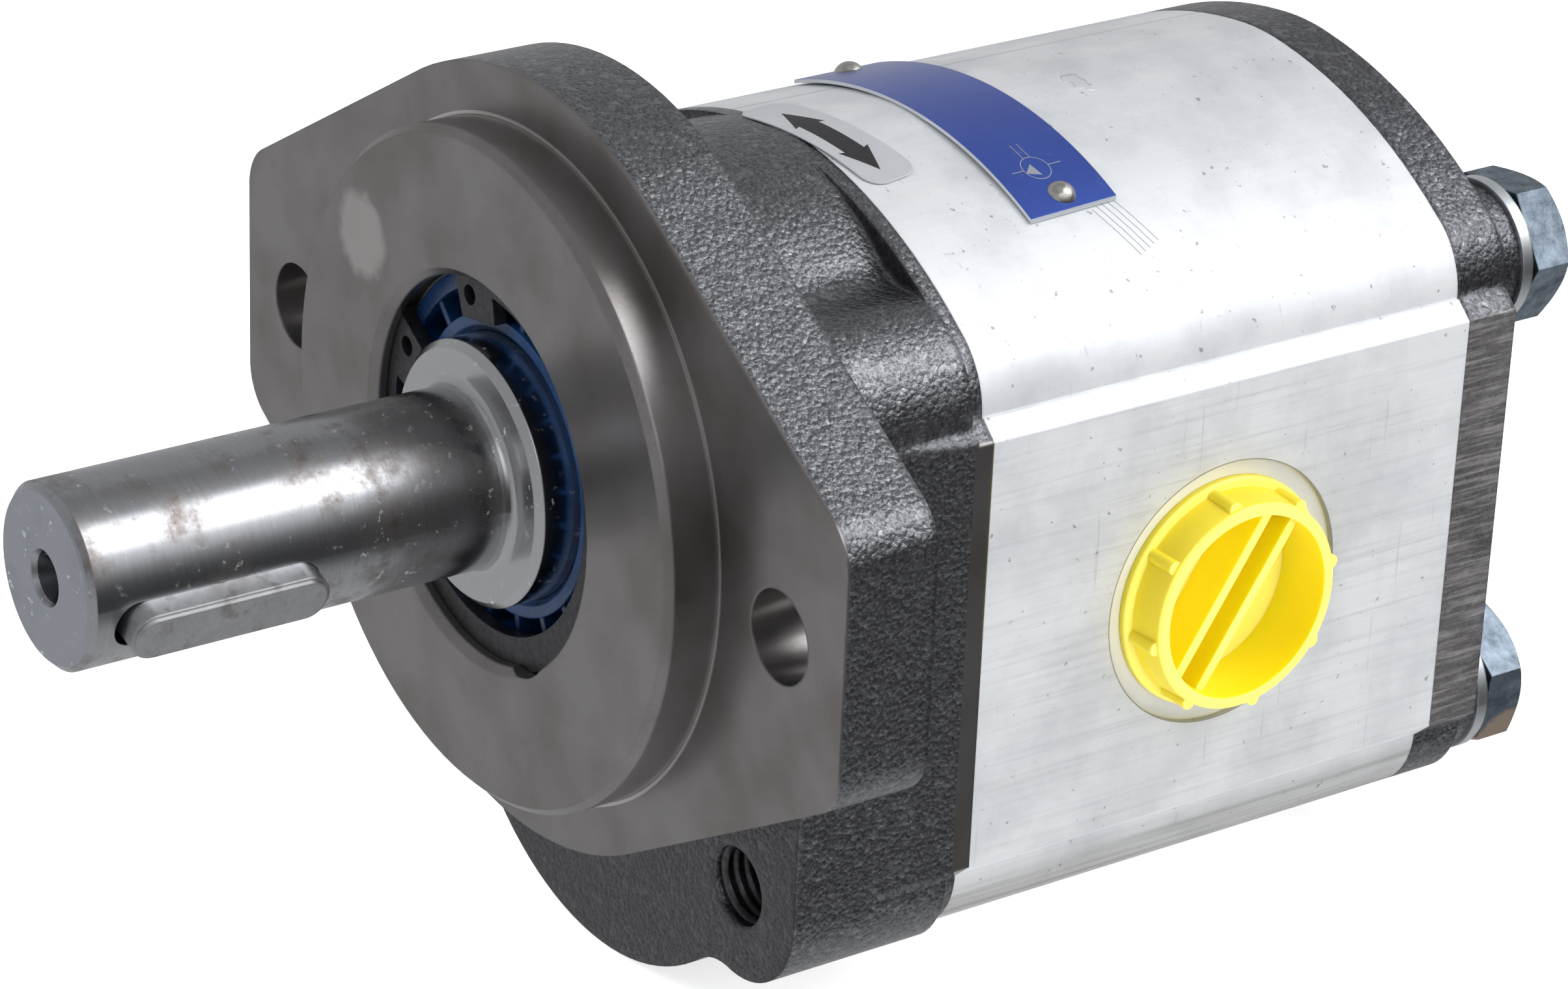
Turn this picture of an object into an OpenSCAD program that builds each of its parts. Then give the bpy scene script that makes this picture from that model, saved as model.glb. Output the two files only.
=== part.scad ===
// Hydraulic gear motor with a two-bolt mounting flange, a keyed shaft and an outboard bearing.
// The shaft axis is the Y axis and the shaft points towards -Y. The flange's front face is the
// plane y = 0, +X is the side of the right-hand port and +Z is up. All sizes are millimetres.

/* [Flange and pilot] */
// Diameter of the pilot that centres the motor
pilot_d = 82.55; // [80:0.05:86]
// Height of the pilot in front of the flange
pilot_h = 6.8; // [6:0.1:9]
// Chamfer on the pilot's edge
pilot_chamfer = 0.9; // [0.4:0.1:1.5]
// Thickness of the mounting flange
flange_t = 12; // [11:0.5:15]
// Length of the flange across its two ears
flange_w = 131; // [128:0.5:138]
// Radius of the flange round the shaft
flange_r = 47.7; // [46:0.1:50]
// Half height of an ear's straight end
ear_half = 12; // [11:0.5:13]
// Corner radius of an ear
ear_r = 7; // [5:0.5:8]
// Distance between the two mounting holes
mount_span = 106.4; // [105:0.1:108]
// Diameter of a mounting hole
mount_d = 11.1; // [10:0.1:12]

/* [Body outline] */
// Distance between the two gear axes
gear_gap = 32.4; // [32.2:0.1:33.2]
// Width across the two port faces
body_w = 86.6; // [85:0.2:92]
// Height of a port face
face_h = 55.2; // [53:0.2:56]
// Radius of the body over each gear
crown_r = 35.1; // [34.8:0.1:36]
// Radius that blends the crown into a bolt corner
blend_r = 65; // [62:1:72]
// Bolt spacing across the body
bolt_span_x = 60.2; // [59.8:0.1:61]
// Bolt spacing up the body
bolt_span_z = 59.4; // [59:0.1:60.2]
// Radius of the body round a bolt
corner_r = 10.6; // [10.2:0.1:11.2]

/* [Lengths] */
// Depth of the front cover behind the flange's face
front_depth = 36; // [35:0.5:40]
// Width of the machined band at the front cover's joint
band_w = 2.2; // [1:0.1:4]
// Length of the gear housing
housing_l = 71.6; // [68:0.2:80]
// Thickness of the rear cover at its middle
rear_t = 11.8; // [11:0.2:15]
// Thickness of the rear cover at its edge
rear_edge_t = 7.5; // [6:0.1:8]

/* [Front cover casting] */
// Radius of the cast neck round each gear axis
neck_r = 35.3; // [34.8:0.1:36]
// Radius of the cast lug round a bolt
lug_r = 11.8; // [11.4:0.1:12.4]
// Fillet between the neck and a lug
valley_r = 8; // [6:0.5:10]

/* [Shaft] */
// Diameter of the keyed shaft end
shaft_d = 22; // [20:0.5:24]
// How far the shaft reaches in front of the flange's face
shaft_l = 62.6; // [60:0.2:75]
// Chamfer on the shaft's end
shaft_chamfer = 0.9; // [0.5:0.1:1.5]
// Diameter of the land that the seal runs on
land_d = 32.3; // [31.8:0.1:33]
// How far the land stands in front of the flange's face
land_front = 8; // [7.4:0.1:9]
// Chamfer on the land's edge
land_chamfer = 0.9; // [0.5:0.1:1.4]
// Diameter of the seat under the bearing
seat_d = 30; // [29.6:0.1:30.4]
// Diameter of the shaft behind the bearing
tail_d = 26; // [25:0.5:27]
// Diameter of the centre hole's mouth
centre_d = 6.8; // [5:0.1:8]
// Diameter of the centre hole's drilled part
centre_drill_d = 3.2; // [2.5:0.1:4]
// Width of the key
key_w = 6; // [5:0.5:8]
// Height of the key
key_h = 6; // [5.5:0.5:7]
// Length of the key
key_l = 25; // [20:0.5:28]
// Depth of the keyway
keyway_depth = 3.2; // [3:0.1:3.8]
// Distance from the shaft's end to the key
key_setback = 3.6; // [3:0.1:5]
// Angle of the key below the horizontal
key_angle = 15; // [0:1:90]

/* [Seal and outboard bearing] */
// Diameter of the bore that holds the seal and the bearing
bore_d = 47; // [46:0.5:49]
// Width of the shaft seal
seal_w = 8; // [7:0.5:9]
// Depth from the pilot's face to the retaining ring
ring_depth = 2.2; // [1.8:0.1:3]
// Thickness of the retaining ring
ring_t = 1.75; // [1.5:0.05:2]
// Width of the outboard bearing
bearing_w = 9; // [8.5:0.1:10]
// Diameter of a bearing ball
ball_d = 4.76; // [4.4:0.02:5]
// Number of bearing balls
ball_count = 15; // [10:1:17]

/* [Gears and bearing blocks] */
// Teeth on each gear
teeth = 12; // [12:1:14]
// Pressure angle of the teeth
pressure_angle = 25; // [24:0.5:27]
// Play between two tooth flanks at the pitch circle
backlash = 0.3; // [0.2:0.05:0.5]
// Diameter of a gear's journals
journal_d = 20; // [18:0.5:21]
// Wall of a bearing bush
bush_wall = 1.5; // [1:0.1:2]
// Length of a bearing block
block_l = 18; // [16:0.5:19]
// Width of the driving tongue between gear and shaft
tongue_w = 8; // [6:0.5:10]
// Length of the driving tongue
tongue_l = 9; // [7:0.5:10]

/* [Ports and plugs] */
// Diameter of the port's spot face
spot_d = 34; // [32:0.2:36]
// Depth of the port's spot face
spot_depth = 1; // [0.5:0.1:1.6]
// Diameter of the port's thread
port_d = 24.6; // [24:0.1:25.4]
// Depth of the port's thread
port_depth = 17; // [15:0.5:18]
// Diameter of the passage from the port to the gears
passage_d = 18; // [15:0.5:20]
// Diameter of a plug's base rim
plug_rim_d = 29.6; // [28:0.2:31]
// Diameter of a plug's outer end
plug_d = 26.6; // [26:0.1:27.4]
// Height of a plug above its spot face
plug_h = 5.9; // [5:0.1:8]
// Diameter of the recess in a plug
plug_recess_d = 23.6; // [21:0.1:24]
// Depth of the recess in a plug
plug_recess_h = 8; // [6:0.1:9]
// Length of a plug below its spot face
plug_shank_l = 10; // [8:0.5:12]
// Diameter of the drain port's thread
drain_d = 11.8; // [11:0.1:13]
// Diameter of the drain port's spot face
drain_spot_d = 20; // [18:0.5:22]

/* [Clamping bolts] */
// Diameter of a clamping bolt
bolt_d = 10; // [9.6:0.1:10.2]
// Length of a clamping bolt under its head
bolt_l = 100; // [96:1:104]
// Width across the flats of a bolt's head
bolt_af = 17; // [16:0.1:17.6]
// Height of a bolt's head
bolt_head_h = 6.4; // [5:0.1:7]
// Diameter of a washer
washer_d = 18.6; // [17:0.1:19.4]
// Thickness of a washer
washer_t = 1.6; // [1:0.1:2.5]
// Diameter of a locating dowel
dowel_d = 8; // [6:0.5:8]
// Length of a locating dowel
dowel_l = 12; // [8:1:16]

/* [Name plate and label] */
// Width of the name plate along the motor
plate_w = 13; // [11:0.5:15]
// Thickness of the name plate
plate_t = 0.5; // [0.4:0.1:1]
// Radius that the name plate is bent to
plate_r = 55; // [54:0.5:58]
// Distance from the front joint to the middle of the name plate
plate_back = 22.4; // [20:0.2:45]
// Angle that the name plate was riveted on at
plate_turn = 2.6; // [0:0.1:4]
// Reach of the name plate to the right of the crown
plate_right = 25.5; // [20:0.5:27]
// Reach of the name plate to the left of the crown
plate_left = 20.5; // [14:0.5:22]
// Diameter of a rivet's head
rivet_d = 3.6; // [3.4:0.1:5]
// Length of the direction label
label_l = 24; // [20:0.5:26]
// Width of the direction label
label_w = 7.6; // [6:0.1:8.4]
// Thickness of the direction label
label_t = 0.15; // [0.1:0.05:0.3]
// Angle that the label was stuck on at
label_tilt = 9; // [0:1:12]

/* [Fits] */
// Radial play of a journal in its bush
running_play = 0.03; // [0.01:0.01:0.06]
// Radial play of a pressed or located piece in its seat
seat_play = 0.02; // [0.01:0.01:0.04]
// Radial play of the gear tips in the housing
tip_play = 0.08; // [0.04:0.01:0.1]
// Axial play at each side of the gears
side_play = 0.05; // [0.02:0.01:0.1]
// Radial play of a bolt in its clearance hole
bolt_play = 0.5; // [0.3:0.1:0.6]
// Play of a seal or a ring in its groove
groove_play = 0.06; // [0.04:0.01:0.1]

/* [Hidden] */
$fn = 72;
CUT = 1;

// Places along the shaft
front_joint = front_depth;
rear_joint = front_joint + housing_l;
rear_face = rear_joint + rear_t;
port_y = (front_joint + rear_joint) / 2;
mid_z = -gear_gap / 2;
bolt_x = bolt_span_x / 2;
bolt_z = bolt_span_z / 2;

// Seal, retaining ring and outboard bearing
ring_front = -pilot_h + ring_depth;
seal_front = ring_front + ring_t + groove_play;
seal_rear = seal_front + seal_w;
bearing_front = seal_rear;
bearing_rear = bearing_front + bearing_w;
clip_t = 1.5;
clip_front = bearing_rear + groove_play;
clip_rear = clip_front + clip_t;
clip_groove_depth = 0.8;
clip_height = 1.9;
tail_gap = 1.2;
tail_room = 2;
cavity_rear = clip_rear + tail_room;
shaft_rear = front_joint - tail_room;
race_wall = 2.3;
pitch_r = (bore_d + seat_d) / 4;
shoulder_r = bore_d / 2 - race_wall - 0.7;
race_play = 0.05;
cage_wall = 1.1;
ring_groove_depth = 1.25;
spring_wire = 1.3;
lip_wall = 2.1;
spring_r = land_d / 2 + running_play + lip_wall;
spring_y = seal_rear - 1.7;
cage_w = bearing_w - 2;

// Gears
module_size = gear_gap / teeth;
base_r = gear_gap / 2 * cos(pressure_angle);
tip_r = gear_gap / 2 + module_size;
root_r = gear_gap / 2 - 1.22 * module_size;
journal_r = journal_d / 2;
bush_r = journal_r + bush_wall;
block_r = tip_r + tip_play - seat_play;
gear_front = front_joint + block_l + side_play;
gear_rear = rear_joint - block_l - side_play;
journal_gap = 0.6;
tongue_front = shaft_rear - tongue_l;
tongue_play = 0.08;

// Grooves for the flat seals
joint_seal_in = tip_r + tip_play + 1.6;
joint_seal_w = 2.4;
joint_seal_h = 2;
block_seal_in = bush_r + 3.8;
block_seal_w = 2;
block_seal_h = 2;

// Outline of the body about its middle: gear axis, bolt, and the arc that links their arcs
gear_at = [0, gear_gap / 2];
bolt_at = [bolt_x, bolt_z];
bolt_way = bolt_at - gear_at;
bolt_far = norm(bolt_way);
to_gear = blend_r - crown_r;
to_bolt = blend_r - corner_r;
blend_turn = acos((to_gear ^ 2 + bolt_far ^ 2 - to_bolt ^ 2) / (2 * to_gear * bolt_far));
blend_way = atan2(bolt_way.y, bolt_way.x) - blend_turn;
blend_at = gear_at + to_gear * [cos(blend_way), sin(blend_way)];
up_way = (gear_at - blend_at) / to_gear;
out_way = (bolt_at - blend_at) / to_bolt;
blend_wedge = [gear_at, gear_at + 1.3 * crown_r * up_way, bolt_at + 2.2 * corner_r * out_way, bolt_at];

// Arcs that touch are drawn this much apart, so that they cross instead of only touching
arc_relief = 0.02;

// The valley's centre, where its arc touches both the neck and the lug
valley_gear = neck_r + valley_r;
valley_bolt = lug_r + valley_r;
valley_along = (valley_gear ^ 2 - valley_bolt ^ 2 + bolt_far ^ 2) / (2 * bolt_far);
valley_aside = sqrt(valley_gear ^ 2 - valley_along ^ 2);
valley_at = gear_at + (bolt_way * valley_along + [-bolt_way.y, bolt_way.x] * valley_aside) / bolt_far;

// Depth behind the edge of the rear cover's dome and how far it has drawn in there
dome_rise = rear_t - rear_edge_t;
dome_steps = [[0, 0.1], [0.2, 0.9], [0.45, 2.9], [0.72, 5.5], [1, 8.4]];

// Bolts, dowels and ports
dowel_x = bolt_x + 4;
dowel_room = 0.5;
tapped_r = bolt_d / 2 + seat_play;
bolt_hole_r = bolt_d / 2 + bolt_play;
washer_play = 0.25;
bearing_face_h = 0.5;
bearing_face_r = bolt_af / 2 - 0.4;
passage_start = 8;
drain_spot_depth = 0.5;

// The plugs' ribs and grip bars stand at these angles, as they were screwed in
rib_turn = 11;
bar_turn = -33;

// The name plate's middle, and a rivet's distance from its end of the plate
plate_y = front_joint + plate_back;
plate_drop = 0.05;
plate_centre_z = crown_r + plate_drop - plate_r;
rivet_shank_r = 1.1;
rivet_depth = 4;
rivet_inset = 2.5;

// Shallow slot in the bore's mouth for prising the seal out
pry_angle = 148;
pry_r = 8;
pry_depth = 1.3;

// A flat outline in x and z, made solid from y0 to y1
module slab(y0, y1) {
    translate([0, y1, 0]) rotate([90, 0, 0]) linear_extrude(y1 - y0) children();
}

// A round bar along the shaft's direction
module bar(r, y0, y1, x = 0, z = 0) {
    translate([x, y0, z]) rotate([-90, 0, 0]) cylinder(r = r, h = y1 - y0);
}

// A turned piece: points are radius and place along the shaft
module turned(points) {
    rotate([-90, 0, 0]) rotate_extrude() polygon(points);
}

// The four clamping bolts' places
module at_bolts() {
    for (sx = [-1, 1], sz = [-1, 1]) translate([sx * bolt_x, 0, mid_z + sz * bolt_z]) children();
}

module dowel_hole(sx, y0, y1) {
    bar(dowel_d / 2 + seat_play, y0, y1, x = sx * dowel_x, z = mid_z);
}

// The right-hand port's axis, with local z pointing outwards from the spot face
module at_port() {
    translate([body_w / 2 - spot_depth, port_y, mid_z]) rotate([0, 90, 0]) children();
}

// Each rivet's seat on the plate's outer face, with local z pointing out of the plate
module at_rivets() {
    for (at = [plate_right - rivet_inset, rivet_inset - plate_left])
        translate([0, plate_y + at * sin(plate_turn), plate_centre_z])
            rotate([0, asin(at * cos(plate_turn) / plate_r), 0])
                translate([0, 0, plate_r + plate_t]) children();
}

function arc(cx, cy, r, a0, a1, steps) =
    [for (i = [0:steps]) let (a = a0 + (a1 - a0) * i / steps) [cx + r * cos(a), cy + r * sin(a)]];

// One corner of the body's outline: the crown over the gear, the flatter blend and the round
// corner at the bolt run into each other
module outline_corner() {
    translate(gear_at) circle(crown_r);
    translate(bolt_at) circle(corner_r);
    intersection() {
        translate(blend_at) circle(blend_r - arc_relief);
        polygon(blend_wedge);
    }
}

// The outline that the housing and both covers share at their joints
module joint_outline() {
    step_x = bolt_x + corner_r + 0.3;
    half = body_w / 2;
    translate([0, mid_z]) {
        polygon([
            [-half, -face_h / 2], [-step_x, -bolt_z], [step_x, -bolt_z], [half, -face_h / 2],
            [half, face_h / 2], [step_x, bolt_z], [-step_x, bolt_z], [-half, face_h / 2]
        ]);
        for (mx = [0, 1], mz = [0, 1]) mirror([mx, 0]) mirror([0, mz]) outline_corner();
    }
}

// The front cover's rough casting, with a valley between the neck and each bolt's lug
module neck_outline() {
    translate([0, mid_z]) {
        square([2 * (bolt_x + lug_r - arc_relief), 2 * bolt_z], center = true);
        for (mx = [0, 1], mz = [0, 1]) mirror([mx, 0]) mirror([0, mz]) {
            translate(gear_at) circle(neck_r);
            translate(bolt_at) circle(lug_r);
            difference() {
                polygon([gear_at, valley_at, bolt_at]);
                translate(valley_at) circle(valley_r + arc_relief);
            }
        }
    }
}

// The neck's flared sides, which run out at the lugs
module flare_outline() {
    half = body_w / 2 + CUT;
    lug = bolt_x + lug_r - 0.9;
    lug_z = bolt_z - 0.4;
    translate([0, mid_z]) polygon([
        [-half, -face_h / 2], [-lug, -lug_z], [lug, -lug_z], [half, -face_h / 2],
        [half, face_h / 2], [lug, lug_z], [-lug, lug_z], [-half, face_h / 2]
    ]);
}

// The flange: an arc over the pilot, straight sides and ears with round corners
module flange_outline() {
    ear_at = [flange_w / 2 - ear_r, ear_half];
    side_way = atan2(ear_at.y, ear_at.x) + acos((flange_r - ear_r) / norm(ear_at));
    side = [cos(side_way), sin(side_way)];
    circle(flange_r);
    for (mx = [0, 1], mz = [0, 1]) mirror([mx, 0]) mirror([0, mz]) {
        translate(ear_at) circle(ear_r);
        polygon([
            [-1, -1], (flange_r - arc_relief) * side, ear_at + (ear_r - arc_relief) * side,
            ear_at + [ear_r - arc_relief, 0], [flange_w / 2 - arc_relief, -1]
        ]);
    }
}

// The two gear bores side by side, at any radius
module twin_bore_outline(r) {
    circle(r);
    translate([0, -gear_gap]) circle(r);
}

module stadium_outline(r) {
    twin_bore_outline(r);
    translate([-r, -gear_gap]) square([2 * r, gear_gap]);
}

// A flat ring round both gear bores with straight sides
module stadium_ring(r, w) {
    difference() {
        stadium_outline(r + w);
        stadium_outline(r);
    }
}

module twin_ring(r, w) {
    difference() {
        twin_bore_outline(r + w);
        twin_bore_outline(r);
    }
}

module front_cover() {
    pilot_r = pilot_d / 2;
    bore_r = bore_d / 2;
    groove_r = bore_r + ring_groove_depth;
    mouth = 1;
    tail_r = tail_d / 2 + tail_room;
    flare_front = flange_t + 2;
    flare_half = bolt_x + lug_r - 1;
    half = body_w / 2;
    color("dimgray") difference() {
        union() {
            slab(0, flange_t) flange_outline();
            turned([
                [0, -pilot_h], [pilot_r - pilot_chamfer, -pilot_h], [pilot_r, -pilot_h + pilot_chamfer],
                [pilot_r, flange_t / 2], [0, flange_t / 2]
            ]);
            slab(flange_t, front_joint - band_w) neck_outline();
            intersection() {
                translate([0, 0, mid_z - bolt_z]) linear_extrude(2 * bolt_z) polygon([
                    [-flare_half, flare_front], [flare_half, flare_front],
                    [half, front_joint - band_w], [-half, front_joint - band_w]
                ]);
                slab(flange_t, front_joint) flare_outline();
            }
            slab(front_joint - band_w, front_joint) joint_outline();
        }
        turned([
            [0, -pilot_h - CUT], [bore_r + mouth + CUT, -pilot_h - CUT], [bore_r, -pilot_h + mouth],
            [bore_r, ring_front - groove_play], [groove_r, ring_front - groove_play],
            [groove_r, ring_front + ring_t + groove_play], [bore_r, ring_front + ring_t + groove_play],
            [bore_r, bearing_rear], [shoulder_r, bearing_rear], [shoulder_r, cavity_rear],
            [tail_r, cavity_rear], [tail_r, front_joint + CUT], [0, front_joint + CUT]
        ]);
        rotate([0, pry_angle, 0]) bar(pry_r, -pilot_h - CUT, ring_front, z = bore_r + pry_depth - pry_r);
        for (sx = [-1, 1]) {
            bar(mount_d / 2, -CUT, flange_t + CUT, x = sx * mount_span / 2);
            bar(tapped_r, flange_t - 1 - CUT, front_joint + CUT, x = sx * bolt_x, z = mid_z - bolt_z);
            bar(tapped_r, flange_t + 2, front_joint + CUT, x = sx * bolt_x, z = mid_z + bolt_z);
            dowel_hole(sx, front_joint - dowel_l / 2 - dowel_room, front_joint + CUT);
        }
        slab(front_joint - joint_seal_h, front_joint + CUT)
            stadium_ring(joint_seal_in - groove_play, joint_seal_w + 2 * groove_play);
    }
}

module port_cut() {
    at_port() {
        cylinder(d = spot_d, h = spot_depth + CUT);
        translate([0, 0, -port_depth]) cylinder(d = port_d, h = port_depth + CUT);
        translate([0, 0, spot_depth + passage_start - body_w / 2])
            cylinder(d = passage_d, h = body_w / 2 - passage_start);
    }
}

module gear_housing() {
    color("lightgray") difference() {
        slab(front_joint, rear_joint) joint_outline();
        slab(front_joint - CUT, rear_joint + CUT) twin_bore_outline(tip_r + tip_play);
        port_cut();
        mirror([1, 0, 0]) port_cut();
        at_bolts() bar(bolt_hole_r, front_joint - CUT, rear_joint + CUT);
        for (sx = [-1, 1]) {
            dowel_hole(sx, front_joint - CUT, front_joint + dowel_l / 2 + dowel_room);
            dowel_hole(sx, rear_joint - dowel_l / 2 - dowel_room, rear_joint + CUT);
        }
        at_rivets() translate([0, 0, -rivet_depth])
            cylinder(r = rivet_shank_r + seat_play, h = rivet_depth + 4);
    }
}

// A round piece of the dome, drawn in step by step towards the rear face
module dome_disc(at, r) {
    edge = rear_joint + rear_edge_t;
    translate([at.x, 0, at.y]) turned(concat(
        [[0, edge]], [for (d = dome_steps) [r - d[1], edge + d[0] * dome_rise]], [[0, rear_face]]
    ));
}

// The rear cover's rounded back: the same pieces as the outline, each with the dome's edge
module rear_dome() {
    edge = rear_joint + rear_edge_t;
    half = bolt_x + corner_r - arc_relief;
    right = [for (d = dome_steps) [half - d[1], edge + d[0] * dome_rise]];
    left = [for (i = [len(right) - 1:-1:0]) [-right[i].x, right[i].y]];
    translate([0, 0, mid_z]) {
        translate([0, 0, -bolt_z]) linear_extrude(2 * bolt_z) polygon(concat(right, left));
        for (mx = [0, 1], mz = [0, 1]) mirror([mx, 0, 0]) mirror([0, 0, mz]) {
            dome_disc(gear_at, crown_r);
            dome_disc(bolt_at, corner_r);
            intersection() {
                dome_disc(blend_at, blend_r - arc_relief);
                slab(edge, rear_face) polygon(blend_wedge);
            }
        }
    }
}

module rear_cover() {
    boss_r = corner_r - 1.8;
    color("dimgray") difference() {
        union() {
            slab(rear_joint, rear_joint + rear_edge_t) joint_outline();
            rear_dome();
            at_bolts() bar(boss_r, rear_joint + 2, rear_face);
        }
        at_bolts() bar(bolt_hole_r, rear_joint - CUT, rear_face + CUT);
        for (sx = [-1, 1]) dowel_hole(sx, rear_joint - CUT, rear_joint + dowel_l / 2 + dowel_room);
        slab(rear_joint - CUT, rear_joint + joint_seal_h)
            stadium_ring(joint_seal_in - groove_play, joint_seal_w + 2 * groove_play);
        bar(drain_d / 2, rear_joint - CUT, rear_face + CUT, z = mid_z);
        bar(drain_spot_d / 2, rear_face - drain_spot_depth, rear_face + CUT, z = mid_z);
    }
}

// The key's middle, with local x pointing out of the shaft and y along it
module at_key() {
    translate([0, -shaft_l + key_setback + key_l / 2, 0]) rotate([0, key_angle, 0]) children();
}

// A bar with round ends between two distances from the shaft's axis
module key_solid(w, l, low, high) {
    for (s = [-1, 1])
        translate([low, s * (l - w) / 2, 0]) rotate([0, 90, 0]) cylinder(d = w, h = high - low);
    translate([low, -(l - w) / 2, -w / 2]) cube([high - low, l - w, w]);
}

module drive_shaft() {
    shaft_r = shaft_d / 2;
    land_r = land_d / 2;
    seat_r = seat_d / 2 - seat_play;
    fillet = 1.2;
    groove_r = seat_r - clip_groove_depth;
    cone_l = (centre_d - centre_drill_d) / 2 / tan(30);
    drill_end = -shaft_l + cone_l + 5;
    color("silver") difference() {
        turned(concat(
            [[0, -shaft_l], [shaft_r - shaft_chamfer, -shaft_l], [shaft_r, -shaft_l + shaft_chamfer]],
            arc(shaft_r + fillet, -land_front - fillet, fillet, 180, 90, 6),
            [
                [land_r - land_chamfer, -land_front], [land_r, -land_front + land_chamfer],
                [land_r, bearing_front], [seat_r, bearing_front], [seat_r, clip_front - groove_play],
                [groove_r, clip_front - groove_play], [groove_r, clip_rear + groove_play],
                [seat_r, clip_rear + groove_play], [seat_r, clip_rear + tail_gap],
                [tail_d / 2, clip_rear + tail_gap], [tail_d / 2, shaft_rear], [0, shaft_rear]
            ]
        ));
        turned([
            [0, -shaft_l - CUT], [centre_d / 2 + CUT * tan(30), -shaft_l - CUT],
            [centre_drill_d / 2, -shaft_l + cone_l], [centre_drill_d / 2, drill_end], [0, drill_end + 1]
        ]);
        at_key() key_solid(key_w, key_l + 1, shaft_r - keyway_depth, shaft_r + CUT);
        translate([-tail_d, tongue_front - 0.4, -tongue_w / 2 - tongue_play])
            cube([2 * tail_d, tongue_l + CUT + 1, tongue_w + 2 * tongue_play]);
    }
}

module shaft_key() {
    low = shaft_d / 2 - keyway_depth;
    edge = 0.4;
    color("darkgray") at_key() translate([0, 0.4, 0]) {
        key_solid(key_w - 2 * seat_play, key_l, low, low + key_h - edge);
        key_solid(key_w - 2 * edge, key_l - 2 * edge, low + 1, low + key_h);
    }
}

// Tooth flank as an involute of the base circle
function involute(r) = let (a = acos(base_r / r)) tan(a) * 180 / PI - a;

function half_tooth(r) =
    90 / teeth - backlash / gear_gap * 90 / PI + involute(gear_gap / 2) - involute(max(r, base_r));

function flank(side) =
    [for (i = [0:6]) let (r = base_r + (tip_r - base_r) * i / 6) [r, side * half_tooth(r)]];

function tooth_points(turn) = let (
    up = flank(-1),
    down = [for (i = [6:-1:0]) [flank(1)[i][0], flank(1)[i][1]]],
    foot = half_tooth(base_r),
    low_r = root_r + 0.7,
    into_root = 2.4,
    polar = concat(
        [[root_r, -foot - into_root], [low_r, -foot]], up,
        down, [[low_r, foot], [root_r, foot + into_root]]
    )
) [for (p = polar) p[0] * [cos(p[1] + turn), sin(p[1] + turn)]];

module gear_outline(turn) {
    polygon([for (i = [0:teeth - 1]) each tooth_points(turn + i * 360 / teeth)]);
}

// A gear with its two journals, centred on its own axis
module gear_with_journals(turn, front_end) {
    chamfer = 0.8;
    run_r = journal_r - running_play;
    slab(gear_front, gear_rear) gear_outline(turn);
    turned([
        [0, front_end], [run_r - chamfer, front_end], [run_r, front_end + chamfer],
        [run_r, rear_joint - journal_gap - chamfer], [run_r - chamfer, rear_joint - journal_gap],
        [0, rear_joint - journal_gap]
    ]);
}

module drive_gear() {
    tongue_top = journal_r - 1;
    color("slategray") {
        gear_with_journals(-90, shaft_rear + 0.5);
        intersection() {
            bar(tongue_top, tongue_front, shaft_rear + 1);
            translate([-tongue_top, tongue_front, -tongue_w / 2])
                cube([2 * tongue_top, tongue_l + 1, tongue_w]);
        }
    }
}

module driven_gear() {
    color("slategray") translate([0, 0, -gear_gap])
        gear_with_journals(90 + 180 / teeth, front_joint + journal_gap);
}

module shaft_seal() {
    lip_r = land_d / 2 + running_play;
    neck = lip_r + lip_wall;
    out_r = bore_d / 2 - seat_play;
    pocket = 3.4;
    web = 1.5;
    ribs = 20;
    color("midnightblue") {
        rotate([-90, 0, 0]) rotate_extrude() difference() {
            polygon([
                [lip_r, seal_front + 0.6], [lip_r + 0.7, seal_front], [neck, seal_front],
                [neck, seal_front + pocket], [out_r - 2, seal_front + pocket], [out_r - 2, seal_front],
                [out_r, seal_front], [out_r, seal_rear - 0.6], [out_r - 0.5, seal_rear],
                [out_r - 1.6, seal_rear], [out_r - 1.6, seal_front + pocket + web],
                [neck, seal_front + pocket + web], [neck, seal_rear - 0.8], [lip_r + 1, seal_rear - 0.4],
                [lip_r, seal_rear - 1.6], [lip_r + 0.8, seal_rear - 3.4], [lip_r + 0.8, seal_front + 2],
                [lip_r, seal_front + 1.4]
            ]);
            translate([spring_r, spring_y]) circle(spring_wire / 2 + groove_play);
        }
        for (i = [0:ribs - 1]) rotate([0, (i + 0.5) * 360 / ribs, 0])
            translate([neck - 0.3, seal_front + 0.4, -0.45]) cube([out_r - neck - 1.4, pocket, 0.9]);
    }
}

// The coil spring that presses the lip on the land
module seal_spring() {
    color("silver") rotate([-90, 0, 0]) rotate_extrude()
        translate([spring_r, spring_y]) circle(d = spring_wire);
}

// Internal retaining ring: a ring with an opening and two lugs with holes
module seal_ring() {
    ring_out = bore_d / 2 + ring_groove_depth - 0.35;
    ring_in = bore_d / 2 - 2.5;
    ring_offset = 0.9;
    lug_at = bore_d / 2 - 2.6;
    lug_size = [5.8, 8];
    hole_r = 1.25;
    hole_turn = 26;
    cut_turn = 19;
    cut_far = bore_d;
    middle = 130;
    color("dimgray") slab(ring_front, ring_front + ring_t) rotate(middle) difference() {
        union() {
            difference() {
                circle(ring_out);
                translate([ring_offset, 0]) circle(ring_in);
            }
            intersection() {
                circle(bore_d / 2 - 0.3);
                for (s = [-1, 1]) rotate(s * (hole_turn + 3))
                    translate([lug_at, 0]) square(lug_size, center = true);
            }
        }
        polygon([[0, 0], [cut_far, -cut_far * tan(cut_turn)], [cut_far, cut_far * tan(cut_turn)]]);
        for (s = [-1, 1]) rotate(s * hole_turn) translate([lug_at, 0]) circle(hole_r);
    }
}

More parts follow.
